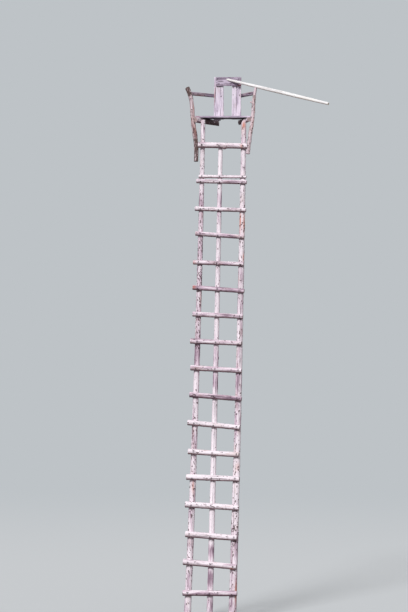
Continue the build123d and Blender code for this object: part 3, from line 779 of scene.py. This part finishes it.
def makePole(name, pole):
    laid = rungLogs + [footLog]
    flats, edges = [], []
    for log in laid:
        if log["along"] > pole["length"] + log["radius"]:
            continue
        deep = log["centreOut"] - rungs["notchDepth"]
        half = math.sqrt(log["radius"] ** 2 - deep ** 2) + rungs["notchPlay"]
        flats.append(flatAt(log["seat"], offLadder, (log["above"], half)))
        seen = poleAt(pole, log["along"])[2] - stand["headDrift"] * log["along"] / railLength
        place = log["along"] + seen * math.sin(log["slant"])
        edges += [place - half, place + half]
    for beam in beams.values():
        if beam["pole"] == name:
            half = beam["radius"] + rungs["notchPlay"]
            flats.append(flatAt(beam["railSide"], beam["outward"], beam["railWindow"], (plumb, half)))
            edges += [(beam["level"] - half) / rise, (beam["level"] + half) / rise]

    def pathAt(along):
        ahead = unitRows(poleAt(pole, along + 0.001)[0] - poleAt(pole, along - 0.001)[0])
        return poleAt(pole, along)[0], ahead, unitRows(offLadder - ahead * (ahead @ offLadder)[:, None])

    def slantAt(along):
        # Near a rung the grid's rows turn with the rung's slant
        total = np.zeros(len(along))
        for log in laid:
            far = np.abs(along - log["along"]) / poleLook["twistSpan"]
            total += math.tan(log["slant"]) * np.clip(poleLook["twistHold"] - far, 0, 1)
        return total

    def barkAt(along):
        sway = poleLook["barkSway"] * np.sin(along * poleLook["barkTurns"] + pole["seed"])
        return pole["bark"] * (1 + sway) + bellsAt(along, pole["rough"])

    makeLog(
        name, "weathered_log", seed=pole["seed"], start=poleAt(pole, 0.0)[1] * run / rise, end=pole["length"],
        step=poleLook["step"], around=pole["around"],
        startSkew=lambda out, side: -out * run / rise,
        endSkew=lambda out, side: -math.tan(math.radians(pole["bevel"])) * np.maximum(-side, 0),
        radiusAt=lambda along: poleAt(pole, along)[1], pathAt=pathAt, slantAt=slantAt, barkAt=barkAt,
        flats=flats, edges=edges, cracks=pole["cracks"], stains=pole["stains"],
        knots=pole["branches"] + whorlKnots(pole["seed"], 0, pole["length"], pole["whorls"],
                                            pole["knotSize"], poleLook["knotHeight"]),
        tone=pole["tone"], warmth=pole["warmth"], shades=pole["shades"],
    )


for name, pole in poles.items():
    makePole(name, pole)
print("poles made")


# Rungs and footrest
def makeCrossLog(name, log, nailSize, **given):
    length = log["leftEnd"] + log["rightEnd"]
    start = log["seat"] - log["ahead"] * log["leftEnd"] + offLadder * log["centreOut"]
    flats, edges = [], []
    for across, poleRadius in log["crossings"]:
        reach = poleRadius + rungs["flatSpare"]
        flats.append(flatAt(log["seat"] + log["ahead"] * across, -offLadder, (log["ahead"], reach)))
        edges += [log["leftEnd"] + across - reach, log["leftEnd"] + across + reach]
    made = makeLog(
        name, "weathered_log", end=length, flats=flats, edges=edges, drip=1,
        radiusAt=lambda along: blend(log["radius"], log["thin"], along / length),
        pathAt=straightPath(start, log["ahead"], offLadder), **given,
    )
    driveNails(made, start, log["ahead"], offLadder, made["nails"], nailSize)


def makeRung(number, log):
    seed = 100 + number
    dice = np.random.default_rng(seed)
    length = log["leftEnd"] + log["rightEnd"]
    nails = [(log["leftEnd"] + across + dice.uniform(-0.008, 0.008), dice.uniform(-0.35, 0.45))
             for across, poleRadius in log["crossings"]]
    cracks = []
    for _ in range(2):
        start = dice.uniform(0.02, length * 0.5)
        end = min(start + dice.uniform(0.16, 0.34), length - 0.01)
        cracks.append((start, end, dice.uniform(-1.1, 1.1), dice.uniform(-0.3, 0.3), 0.0022, 0.007))
    makeCrossLog(
        f"rung_{number:02d}", log, seed=seed, step=rungs["step"], around=rungs["around"],
        cracks=cracks, nails=nails, twist=0.6, lump=0.024,
        knots=[(dice.uniform(0.03, length - 0.03), dice.uniform(-np.pi, np.pi),
                rungs["knotSize"] * dice.uniform(0.6, 1.3), dice.uniform(0.001, 0.004))
               for _ in range(rungs["knots"])],
        stains=rungs["stains"].get(number, []), barkAt=lambda along: rungs["bark"],
        tone=rungs["tones"].get(number, 0.0) + dice.uniform(-0.03, 0.03), warmth=dice.uniform(-0.06, 0.04),
        proud=withinBox if number == 1 else 0.0, nailSize=dice.uniform(0.0045, 0.006),
    )


def makeFootrest(log):
    length = log["leftEnd"] + log["rightEnd"]
    strays = ((0.004, 0.1), (-0.006, 0.25), (0.002, -0.1))  # metres along, radians round
    makeCrossLog(
        "footrest_log", log, seed=41, step=footrest["step"], around=footrest["around"], twist=0.5, tone=0.14,
        cracks=[(0.22, 0.50, 0.35, -0.4, 0.0024, 0.008), (0.012, 0.11, -0.25, 1.6, 0.0026, 0.008)],
        nails=[(log["leftEnd"] + across + shift, turn)
               for (across, poleRadius), (shift, turn) in zip(log["crossings"], strays)],
        knots=[(0.048, 0.05, 0.012, 0.003), (log["leftEnd"] + footrest["knotShift"], np.pi / 2,
                footrest["knotSize"], footrest["knotHeight"]), (0.36, -1.2, 0.008, 0.002)],
        stains=[(0.545, 0.1, 0.018, 0.8, 0.6)],
        barkAt=lambda along: 0.10 + 0.25 * ease(along, length - 0.10, length), nailSize=0.006,
    )


for number, log in enumerate(rungLogs, 1):
    makeRung(number, log)
print("rungs made")
makeFootrest(footLog)


# Side beams under the seat
def makeBeam(name, beam):
    side, radius, half = beam["side"], beam["radius"], stand["supportWidth"] / 2
    length = np.linalg.norm(beam["end"] - beam["start"])
    front = unit(plumb - beam["ahead"] * (plumb @ beam["ahead"]))
    support = np.array([stand["headDrift"] + side * half, supportMiddle, beam["level"]])
    makeLog(
        name, "weathered_log", seed=beam["seed"], end=length, step=0.0042, around=50,
        radiusAt=lambda along: radius, pathAt=straightPath(beam["start"], beam["ahead"], front),
        flats=[
            flatAt(np.array([0, 0, seatUnder]), plumb),
            flatAt(beam["railSide"], -beam["outward"], beam["railWindow"]),
            flatAt(beam["postSide"], beam["outward"], beam["postWindow"]),
            flatAt(support, -side * acrossLadder, (toClimber, 2 * half)),
        ],
        edges=[beam["atPost"] - beam["postWindow"][1], beam["atPost"] + beam["postWindow"][1]], twist=0.4,
        cracks=[(0.0, 0.20, 1.2 * side, 0.5, 0.0026, 0.009)],
        knots=whorlKnots(beam["seed"], 0, length, 2, 0.009, 0.003),
        # bark thickens from 0.30 at the front end to full from 0.22 m on; its dark colour there is painted
        # shade under the seat
        barkAt=lambda along: blend(0.30, 1.0, ease(along, 0.10, 0.22)),
    )


for name, beam in beams.items():
    makeBeam(name, beam)


# Crooked posts with much of their bark left
def makePost(name, post):
    side, radius, beam, arm = post["side"], post["radius"], beams[post["beam"]], post["arm"]
    pathAt, length = splinePath(post["line"], toClimber)
    footMiddle = footLog["seat"] + offLadder * footLog["centreOut"]
    footEnd = footMiddle + footLog["ahead"] * side * post["footrestEnd"]
    play, swell, given = rungs["notchPlay"], post["swell"], dict(post["look"])
    lowBark, highBark, tipBark = given.pop("bark")
    if name == "right_post":
        centre, ahead, front = [rows[0] for rows in pathAt(np.array([length]))]
        across, up = np.cross(ahead, front), palePole["up"]
        given["endSkew"] = lambda out, side: -(out * (front @ up) + side * (across @ up)) / (ahead @ up)
    makeLog(
        name, "bark_post", seed=post["seed"], end=length, step=0.0045, around=54,
        oval=0.05, lump=0.04, twist=0.5, pathAt=pathAt,
        radiusAt=lambda along: radius * np.interp(along / length, np.linspace(0, 1, len(swell)), swell),
        flats=[
            flatAt(beam["postSide"], -beam["outward"], beam["postWindow"], (plumb, beam["radius"] + play)),
            flatAt(footEnd, -side * footLog["ahead"], (footLog["above"], footLog["radius"] + play)),
            flatAt(arm["start"], arm["ahead"], (plumb, (arms["depth"] + play) / 2)),
        ],
        knots=whorlKnots(post["seed"], 0.05, length, 5, 0.010, 0.006),
        cracks=[(length * 0.55, length * 0.93, 0.3, 0.9, 0.0026, 0.008)],
        stains=[(length * 0.45, 0.6, 0.12, 0.8, 0.4), (length * 0.7, 1.1, 0.07, 0.6, 0.5)],
        barkAt=lambda along: blend(lowBark, highBark, ease(along, 0.12, 0.45))
        + tipBark * ease(along, length - 0.18, length - 0.08),
        **given,
    )


# Pale peeled pole from the top board, over the tip of the right post
palePole = dict(
    length=1.520, height=0.465, startAside=0.024, endRadius=0.012, middleRadius=0.021, tipRadius=0.016,
    flat=0.003, spare=0.040, seed=83,
)


def setPalePole():
    tip = posts["right_post"]["tip"]
    start = np.array([stand["headDrift"] + palePole["startAside"], boardFront,
                      stand["seatHeight"] + palePole["height"]])
    share = np.linalg.norm(tip - start) / palePole["length"]
    clear = blend(palePole["endRadius"], palePole["middleRadius"], share * 2) - palePole["flat"]
    ahead = unit(tip + plumb * clear - start)
    palePole.update(start=start, ahead=ahead, up=np.cross(unit(np.cross(ahead, plumb)), ahead))


def makePalePole():
    ahead, up, spare = palePole["ahead"], palePole["up"], palePole["spare"]
    length = palePole["length"] + spare
    root = palePole["start"] - ahead * spare
    radii = [palePole["endRadius"], palePole["middleRadius"], palePole["tipRadius"]]
    curve = np.polyfit([0, 0.5, 1], radii, 2)  # a parabola through the three radii
    side = np.cross(ahead, up)
    tip, reach = posts["right_post"]["tip"], postReach * posts["right_post"]["radius"]
    atPost = (tip - root) @ ahead
    log = makeLog(
        "pale_pole", "peeled_pole", seed=palePole["seed"], start=spare, end=length, step=0.0055, around=46,
        radiusAt=lambda along: np.polyval(curve, along / length), pathAt=straightPath(root, ahead, up),
        startSkew=lambda out, aside: -(out * up[1] + aside * side[1]) / ahead[1],
        flats=[flatAt(tip, -up, (ahead, reach))],
        edges=[atPost - reach, atPost + reach], oval=0.02, lump=0.02, twist=0.2,
        knots=whorlKnots(palePole["seed"], 0.1, length, 7, 0.006, 0.0015),
        cracks=[(0.55, 1.05, 0.9, 0.1, 0.0014, 0.004)], barkAt=lambda along: -0.5,
    )
    driveNails(log, root, ahead, up, [(atPost, 0.0)], 0.004)


setPalePole()
for name, post in posts.items():
    makePost(name, post)
makePalePole()


# Broken branch stub on the right post
stub = dict(height=0.150, length=0.024, rootRadius=0.0125, radius=0.009, rise=25.0, seed=71)


def makeStub(post):
    atBeam, atArm = post["atBeam"], post["atArm"]
    share = (stub["height"] + stand["seatHeight"] - atBeam[2]) / (atArm[2] - atBeam[2])
    root = blend(atBeam, atArm, share)
    ahead = unit(np.array([-1.0, 0.0, math.tan(math.radians(stub["rise"]))]))
    length = post["radius"] + stub["length"]
    makeLog(
        "right_post_stub", "bark_post", node="right_post", seed=stub["seed"], start=0.006, end=length,
        step=0.002, around=32, oval=0.06, lump=0.05, tone=0.2,
        radiusAt=lambda along: blend(stub["rootRadius"], stub["radius"], along / length),
        pathAt=straightPath(root, ahead, toClimber), barkAt=lambda along: 0.3,
        endSkew=lambda out, side: 0.3 * side + 0.0015 * np.sin(out * 900) * np.sign(out),
    )


makeStub(posts["right_post"])
print("footrest, beams, posts and pale pole made")


# Boards: a rectangle with worn edges, carried along its length. With places in metres along the board
# and off its middle line, cracks are (middle, start, end, width, depth), knots (place, middle, size,
# height), nails (place, middle) and stains (place, middle, length, width, strength)
plainBoard = dict(
    thick=stand["board"], front=toClimber, edge=0.0035, columns=27, cup=0.0, tone=0.0, warmth=0.0,
    widen=lambda along: 0.0, endShift=lambda along, across: 0.0,
)
boardLook = dict(
    worn=0.0009, ridge=0.0003, ridgeTurns=1100, swell=0.0006, rustSize=0.0085, wander=0.0025, corner=0.0006,
    chips=0.0008, endWear=0.0012, endWorn=0.004, saw=0.0004, dip=0.005, nailSize=0.0042,
)


def boardProfile(board):
    # (across, depth, and the outward direction's two parts) of each column, clockwise from the front face
    half, thick, edge = board["width"] / 2, board["thick"] / 2, board["edge"]
    columns = [np.linspace(-half + edge, half - edge, board["columns"])]
    for middle, start, end, width, depth in board["cracks"]:
        columns.append(middle + width * np.array([-1.0, -0.5, 0.0, 0.5, 1.0]))
    columns = np.unique(np.clip(np.concatenate(columns), -half + edge, half - edge))
    columns = columns[np.concatenate([[True], np.diff(columns) > 0.0004])]
    turns = np.radians([15.0, 45.0, 75.0])
    sines, cosines = np.sin(turns), np.cos(turns)
    face = gather(columns, thick, 0, 1)
    cheek = gather(half, np.linspace(thick - edge, -thick + edge, 5), 1, 0)
    arc = gather(half - edge + edge * sines, thick - edge + edge * cosines, sines, cosines)
    right, back, left = [1, -1, 1, -1], [-1, -1, -1, -1], [-1, 1, -1, 1]
    return np.concatenate([face, arc, cheek, arc[::-1] * right, face[::-1] * right, arc * back,
                           cheek[::-1] * left, arc[::-1] * left])


def boardShape(board, along, across, depth):
    # Inward depth of ridges, cracks and knots on the face, and the paint layers that go with them
    seed = board["seed"]
    rings = boardLook["ridgeTurns"] * np.hypot(across, depth + board["pith"])
    ridge = np.sin(rings + 2.2 * wavesOver(along, 0 * across, seed, 6, 0.6, 0.12, 0))
    swell = wavesOver(along, across * 60, seed + 1, 8, 0.5, 0.08, 1)
    sunk = boardLook["worn"] + boardLook["ridge"] * ridge + boardLook["swell"] * swell
    gap = knot = iron = stain = np.zeros(sunk.shape)
    for middle, start, end, width, deep in board["cracks"]:
        share = np.clip((along - start) / (end - start), 0, 1)
        fade = np.sqrt(1 - (2 * share - 1) ** 2)
        groove = np.clip(1 - np.abs(across - middle) / np.maximum(width * fade, 1e-5), 0, 1) * (fade > 0.02)
        sunk = sunk + deep * fade * groove
        # the gap mask paints the groove dark: partly darker wood inside the crack, partly painted shade
        gap = np.maximum(gap, ease(groove, 0.0, 0.5))
    for place, middle, size, height in board["knots"]:
        reach = np.hypot(along - place, across - middle) / size
        sunk = sunk - height * np.exp(-reach ** 2) + 0.0015 * np.exp(-((reach - 1.15) / 0.18) ** 2)
        knot = np.maximum(knot, np.exp(-(reach / 0.95) ** 4))
    for place, middle in board["nails"]:
        far = np.hypot(along - place, across - middle) / boardLook["rustSize"]
        iron = np.maximum(iron, np.exp(-far ** 2))
    for place, middle, length, width, strength in board["stains"]:
        far = ((along - place) / length) ** 2 + ((across - middle) / width) ** 2
        stain = np.maximum(stain, strength * np.exp(-far))
    return sunk, (knot, gap, iron), stain


def sawBoard(name, given):
    board = {**plainBoard, **given}
    thick, length, seed, width = (board[key] for key in ("thick", "length", "seed", "width"))
    look = boardLook
    along, shrink, face = capRows(rowsAlong(0.0, length, board["step"], []))
    across, depth, sideways, outwards = boardProfile(board).T[:, None]
    across = across + np.zeros((len(along), 1))
    grid = along[:, None] + np.zeros(across.shape)
    inner = 1 - (2 * across / width) ** 2
    # cracks wander a little along the grain, and the columns with them
    wander = look["wander"] * wavesOver(grid, 0 * across, seed + 4, 5, 0.5, 0.15, 0) * inner
    sunk, marks, stain = boardShape(board, grid, across, depth)
    chips = np.clip(wavesOver(grid, across * 9, seed + 5, 12, 0.2, 0.02, 2), -0.6, 2)
    worn = ease(np.minimum(along, length - along)[:, None], 0, look["endWorn"])
    corner = (np.abs(sideways) > 0.1) * (look["corner"] + look["chips"] * chips)
    sunk = sunk + corner + look["endWear"] * (1 - worn)
    out = depth - outwards * sunk - board["cup"] * inner
    aside = across + wander - sideways * sunk
    aside = aside + board["widen"](grid) * (aside / width + 0.5)
    saw = look["saw"] * np.sin(across * 900 + depth * 500)
    lengthways = grid + board["endShift"](grid, across) - (look["dip"] * marks[1] + saw) * (face != 0) * face
    front, ahead = board["front"], board["ahead"]
    side = np.cross(ahead, front)
    points = board["start"]
    for size, direction in ((lengthways, ahead), (out * shrink, front), (aside * shrink, side)):
        points = points + size[..., None] * direction
    wrapPiece(name, name, "weathered_board", points, board["tone"], board["warmth"],
              grain=gather(aside * shrink, out * shrink + board["pith"], grid + grainShift * seed),
              marks=gather(*marks), cover=gather(stain, 0, face != 0))
    for place, middle in board["nails"]:
        onFace = (np.array([[value]]) for value in (place, middle, thick / 2))
        height = thick / 2 - boardShape(board, *onFace)[0][0, 0]
        spot = board["start"] + ahead * place + side * middle + front * height
        nailSpots.append((spot, front, look["nailSize"]))


backMiddle = stand["headDrift"] + 0.010
backrest = dict(width=0.341, height=0.500, uprightWidth=0.116, footWiden=0.010, drop=0.016, split=0.078,
                setDown=0.010, topHeight=0.111, inset=0.027)


def makeBoards():
    seat, thick, drop = stand["seatHeight"], stand["board"], backrest["drop"]
    left, right = posts["left_post"]["seatEnd"], posts["right_post"]["seatEnd"]
    uprightLength, topLength = backrest["height"] + thick + drop, backrest["width"] - backrest["inset"]
    edgeLeft, edgeRight = backMiddle - backrest["width"] / 2, backMiddle + backrest["width"] / 2
    behind, half = backFace + thick / 2, backrest["uprightWidth"] / 2
    splitAt = backrest["split"] - half
    sawBoard("seat_board", dict(
        start=np.array([left, headFront + stand["seatDepth"] / 2, seat - thick / 2]), ahead=acrossLadder,
        front=plumb, width=stand["seatDepth"], length=right - left, edge=0.004, columns=40, step=0.0068,
        pith=0.09, seed=5, tone=-0.26,
        cracks=[(0.030, 0.0, 0.30, 0.0022, 0.008), (-0.055, 0.36, 0.69, 0.0022, 0.008),
                (0.095, 0.25, 0.52, 0.0016, 0.005)],
        knots=[(0.18, -0.03, 0.014, 0.0012), (0.50, 0.07, 0.011, 0.001), (0.60, -0.085, 0.009, 0.001)],
        nails=[(0.055, 0.075), (0.085, -0.075),
               (right - left - 0.055, 0.075), (right - left - 0.075, -0.075)],
        stains=[(0.02, 0.1, 0.04, 0.05, 0.5)],
    ))
    sawBoard("left_back_board", dict(
        start=np.array([edgeLeft + half, behind, seat - thick - drop]), ahead=plumb,
        width=2 * half, length=uprightLength, step=0.0048, pith=0.075, seed=6, tone=0.05, cup=0.0012,
        widen=lambda along: backrest["footWiden"] * (1 - along / uprightLength),
        # the foot is split, and its left part reaches lower
        endShift=lambda along, across: drop * ease(across, splitAt - 0.003, splitAt + 0.003)
        * np.clip(1 - along / 0.06, 0, 1),
        cracks=[(-0.040, 0.22, 0.42, 0.0026, 0.010), (splitAt, -0.10, 0.16, 0.0022, 0.010),
                (0.018, 0.30, 0.54, 0.0014, 0.005)],
        knots=[(0.30, 0.030, 0.009, 0.001), (0.12, -0.02, 0.007, 0.0008)],
        nails=[(0.028, -0.03), (0.030, 0.025)],
        stains=[(0.33, -0.044, 0.080, 0.0040, 1.0), (0.30, -0.050, 0.03, 0.005, 0.7),
                (0.24, -0.048, 0.04, 0.005, 0.5)],
    ))
    sawBoard("right_back_board", dict(
        start=np.array([edgeRight - half, behind, seat - thick]), ahead=plumb,
        width=2 * half, length=backrest["height"] - backrest["setDown"] + thick, step=0.0048,
        pith=0.07, seed=7, tone=0.05, cup=0.0012,
        cracks=[(0.0, 0.02, 0.50, 0.0020, 0.009), (-0.040, 0.03, 0.26, 0.0016, 0.006),
                (0.034, 0.26, 0.40, 0.0014, 0.005)],
        knots=[(0.300, 0.038, 0.009, 0.0012), (0.304, -0.040, 0.006, 0.0008), (0.063, -0.040, 0.006, 0.0008)],
        nails=[(0.394, -0.040), (0.392, 0.002), (0.390, 0.038), (0.026, -0.03), (0.028, 0.03)],
        stains=[(0.30, 0.05, 0.03, 0.006, 0.4)],
    ))
    sawBoard("top_back_board", dict(
        start=np.array([edgeRight - topLength, backFace - thick / 2,
                        seat + backrest["height"] - backrest["topHeight"] / 2]),
        ahead=acrossLadder, width=backrest["topHeight"], length=topLength, step=0.0042,
        pith=0.06, seed=8, tone=-0.30,
        cracks=[(0.000, 0.02, 0.10, 0.0026, 0.009), (0.010, 0.20, 0.268, 0.0026, 0.009),
                (-0.030, 0.08, 0.25, 0.0014, 0.005), (0.036, -0.05, 0.12, 0.0016, 0.006)],
        knots=[(0.143, -0.026, 0.012, 0.0015), (0.046, 0.030, 0.007, 0.001)],
        nails=[(0.018, -0.030), (0.030, 0.030), (0.285, -0.028), (0.272, 0.034)],
        stains=[(0.30, 0.048, 0.03, 0.010, 0.8)],
    ))
    for name, post in posts.items():
        arm = post["arm"]
        sideways = unit(np.cross(arm["ahead"], plumb))
        sawBoard(name.replace("post", "arm_rail"), dict(
            start=arm["start"], ahead=arm["ahead"], front=-sideways * np.sign(sideways[1]),
            width=arms["depth"], thick=arms["thickness"], length=arm["length"], edge=arms["edge"],
            columns=12, step=0.0045,
            pith=0.03, seed=9 + post["side"], tone=-0.80, warmth=0.12,
            cracks=[(0.004, 0.0, 0.22, 0.0020, 0.007), (-0.010, 0.15, 0.40, 0.0016, 0.005)],
            knots=[(0.10, -0.006, 0.008, 0.0015), (0.21, 0.008, 0.007, 0.001)],
            nails=[(0.03, 0.0), (arm["length"] - 0.05, -0.008), (arm["length"] - 0.09, 0.008)],
            stains=[(0.12, 0.02, 0.08, 0.010, 0.5)],
        ))


makeBoards()
print("boards made")


# Nail heads: dished and rusty, gathered in one mesh
def nailMaterial():
    material, graph = newMaterial("rusty_nail")
    noise = noiseOf(addNode("ShaderNodeTexCoord", graph=graph).outputs["Object"], 420.0, 3.0)
    colour = mixPaint(ramp(noise, 0.4, 0.65), paint(72, 46, 40), paint(44, 36, 42))
    roughness = ramp(noise, 0.3, 0.7, 0.55, 0.85)
    shader = setSurface(material, colour, roughness, noise, strength=0.5, distance=0.0008)
    shader.inputs["Metallic"].default_value = 0.5
    return material


def makeNails():
    # One turned profile (height, radius), set on every spot in whole arrays
    spots, outwards, sizes = (np.array(values) for values in zip(*nailSpots))
    sizes = sizes[:, None, None]
    profile = np.array([(-0.9, 0.0), (-0.9, 0.45), (-0.2, 0.5), (-0.15, 0.96), (0.0, 1.0), (0.14, 0.9),
                        (0.22, 0.55), (0.18, 0.0)])
    turns = np.linspace(0, 2 * np.pi, 12, endpoint=False)[:, None]
    first = unitRows(np.cross(outwards, np.where(np.abs(outwards[:, 2:]) < 0.8, plumb, acrossLadder)))
    second = np.cross(outwards, first)
    ring = np.cos(turns) * first[:, None] + np.sin(turns) * second[:, None]
    height, radius = profile[1:-1, :, None, None].transpose(1, 0, 2, 3)
    shape = ring[:, None] * radius + outwards[:, None, None] * height
    tips = spots[:, None] + outwards[:, None] * profile[[0, -1], 0][None, :, None] * sizes
    piece = makeTubes("nail_heads", spots[:, None, None] + shape * sizes[..., None], tips, sharpAngle["nail"])
    piece.data.materials.append(nailMaterial())
    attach(piece, "root")


makeNails()
print("nails driven:", len(nailSpots))


# Camera: a long lens from the climber's side, a little to the right of the ladder
camera = dict(
    place=(5.099, -29.564, 3.475),  # metres
    turn=10.0,  # degrees towards the left
    pitch=0.6,
    roll=0.7,
    focal=2490.0,  # in photo pixels
    photoHeight=612.0,
    sensor=36.0,
    farthest=400,
)


def addCamera():
    lens = bpy.data.cameras.new("camera")
    lens.sensor_fit = "VERTICAL"
    lens.sensor_height = camera["sensor"]
    lens.sensor_width = camera["sensor"]
    lens.lens = camera["focal"] / camera["photoHeight"] * camera["sensor"]
    lens.clip_end = camera["farthest"]
    turn, pitch, roll = (Matrix.Rotation(math.radians(angle), 4, axis) for angle, axis in (
        (camera["turn"], "Z"), (90 + camera["pitch"], "X"), (camera["roll"], "Z")))
    seen = showPiece("camera", lens)
    seen.matrix_world = Matrix.Translation(camera["place"]) @ turn @ pitch @ roll
    bpy.context.scene.camera = seen


# Studio: pale floor that runs into a pale backdrop, soft light from the upper left
studio = dict(
    backdrop=paint(190, 195, 199), floor=paint(204, 207, 210), bounce=paint(118, 118, 120),
    floorSize=90.0, fadeFrom=5.0, fadeTo=26.0, skyLevel=0.53, keyLevel=2.38,
    keyAngle=14.0, keyTurn=(56.0, 0.0, -14.0),  # degrees
)


def seenDirectly(graph):
    light = addNode("ShaderNodeLightPath", graph=graph).outputs
    shiny = compute("MAXIMUM", light["Is Glossy Ray"], light["Is Transmission Ray"])
    return compute("MAXIMUM", light["Is Camera Ray"], shiny)


def addFloor():
    half = studio["floorSize"]
    mesh = bpy.data.meshes.new("floor")
    corners = [(-half, -half, 0), (half, -half, 0), (half, half, 0), (-half, half, 0)]
    mesh.from_pydata(corners, [], [(0, 1, 2, 3)])
    material, graph = newMaterial("floor")
    graph.nodes.remove(graph.nodes["Principled BSDF"])
    colour = mixPaint(seenDirectly(graph), studio["bounce"], studio["floor"])
    plain = addNode("ShaderNodeBsdfDiffuse", {"Color": colour}).outputs[0]
    glow = addNode("ShaderNodeEmission", {"Color": studio["backdrop"], "Strength": 1.0}, graph).outputs[0]
    far = vectorNode("LENGTH", "Value", addNode("ShaderNodeTexCoord", graph=graph).outputs["Object"])
    share = times(ramp(far, studio["fadeFrom"], studio["fadeTo"]), seenDirectly(graph))
    surface = addNode("ShaderNodeMixShader", {0: share, 1: plain, 2: glow}).outputs[0]
    graph.links.new(surface, graph.nodes["Material Output"].inputs["Surface"])
    mesh.materials.append(material)
    floor = showPiece("floor", mesh)


def addLight():
    world = bpy.data.worlds.new("studio")
    bpy.context.scene.world = world
    world.use_nodes = True
    graph = world.node_tree
    sky = graph.nodes["Background"]
    sky.inputs["Color"].default_value = (1, 1, 1, 1)
    sky.inputs["Strength"].default_value = studio["skyLevel"]
    backdrop = addNode("ShaderNodeBackground", {"Color": studio["backdrop"], "Strength": 1.0}, graph)
    inputs = {0: seenDirectly(graph), 1: sky.outputs[0], 2: backdrop.outputs[0]}
    surface = addNode("ShaderNodeMixShader", inputs).outputs[0]
    graph.links.new(surface, graph.nodes["World Output"].inputs["Surface"])

    key = bpy.data.lights.new("key", "SUN")
    key.energy = studio["keyLevel"]
    key.angle = math.radians(studio["keyAngle"])
    sun = showPiece("key", key)
    sun.rotation_euler = [math.radians(turn) for turn in studio["keyTurn"]]


addCamera()
addFloor()
addLight()
bpy.context.scene.view_settings.view_transform = "Standard"
print("studio set")
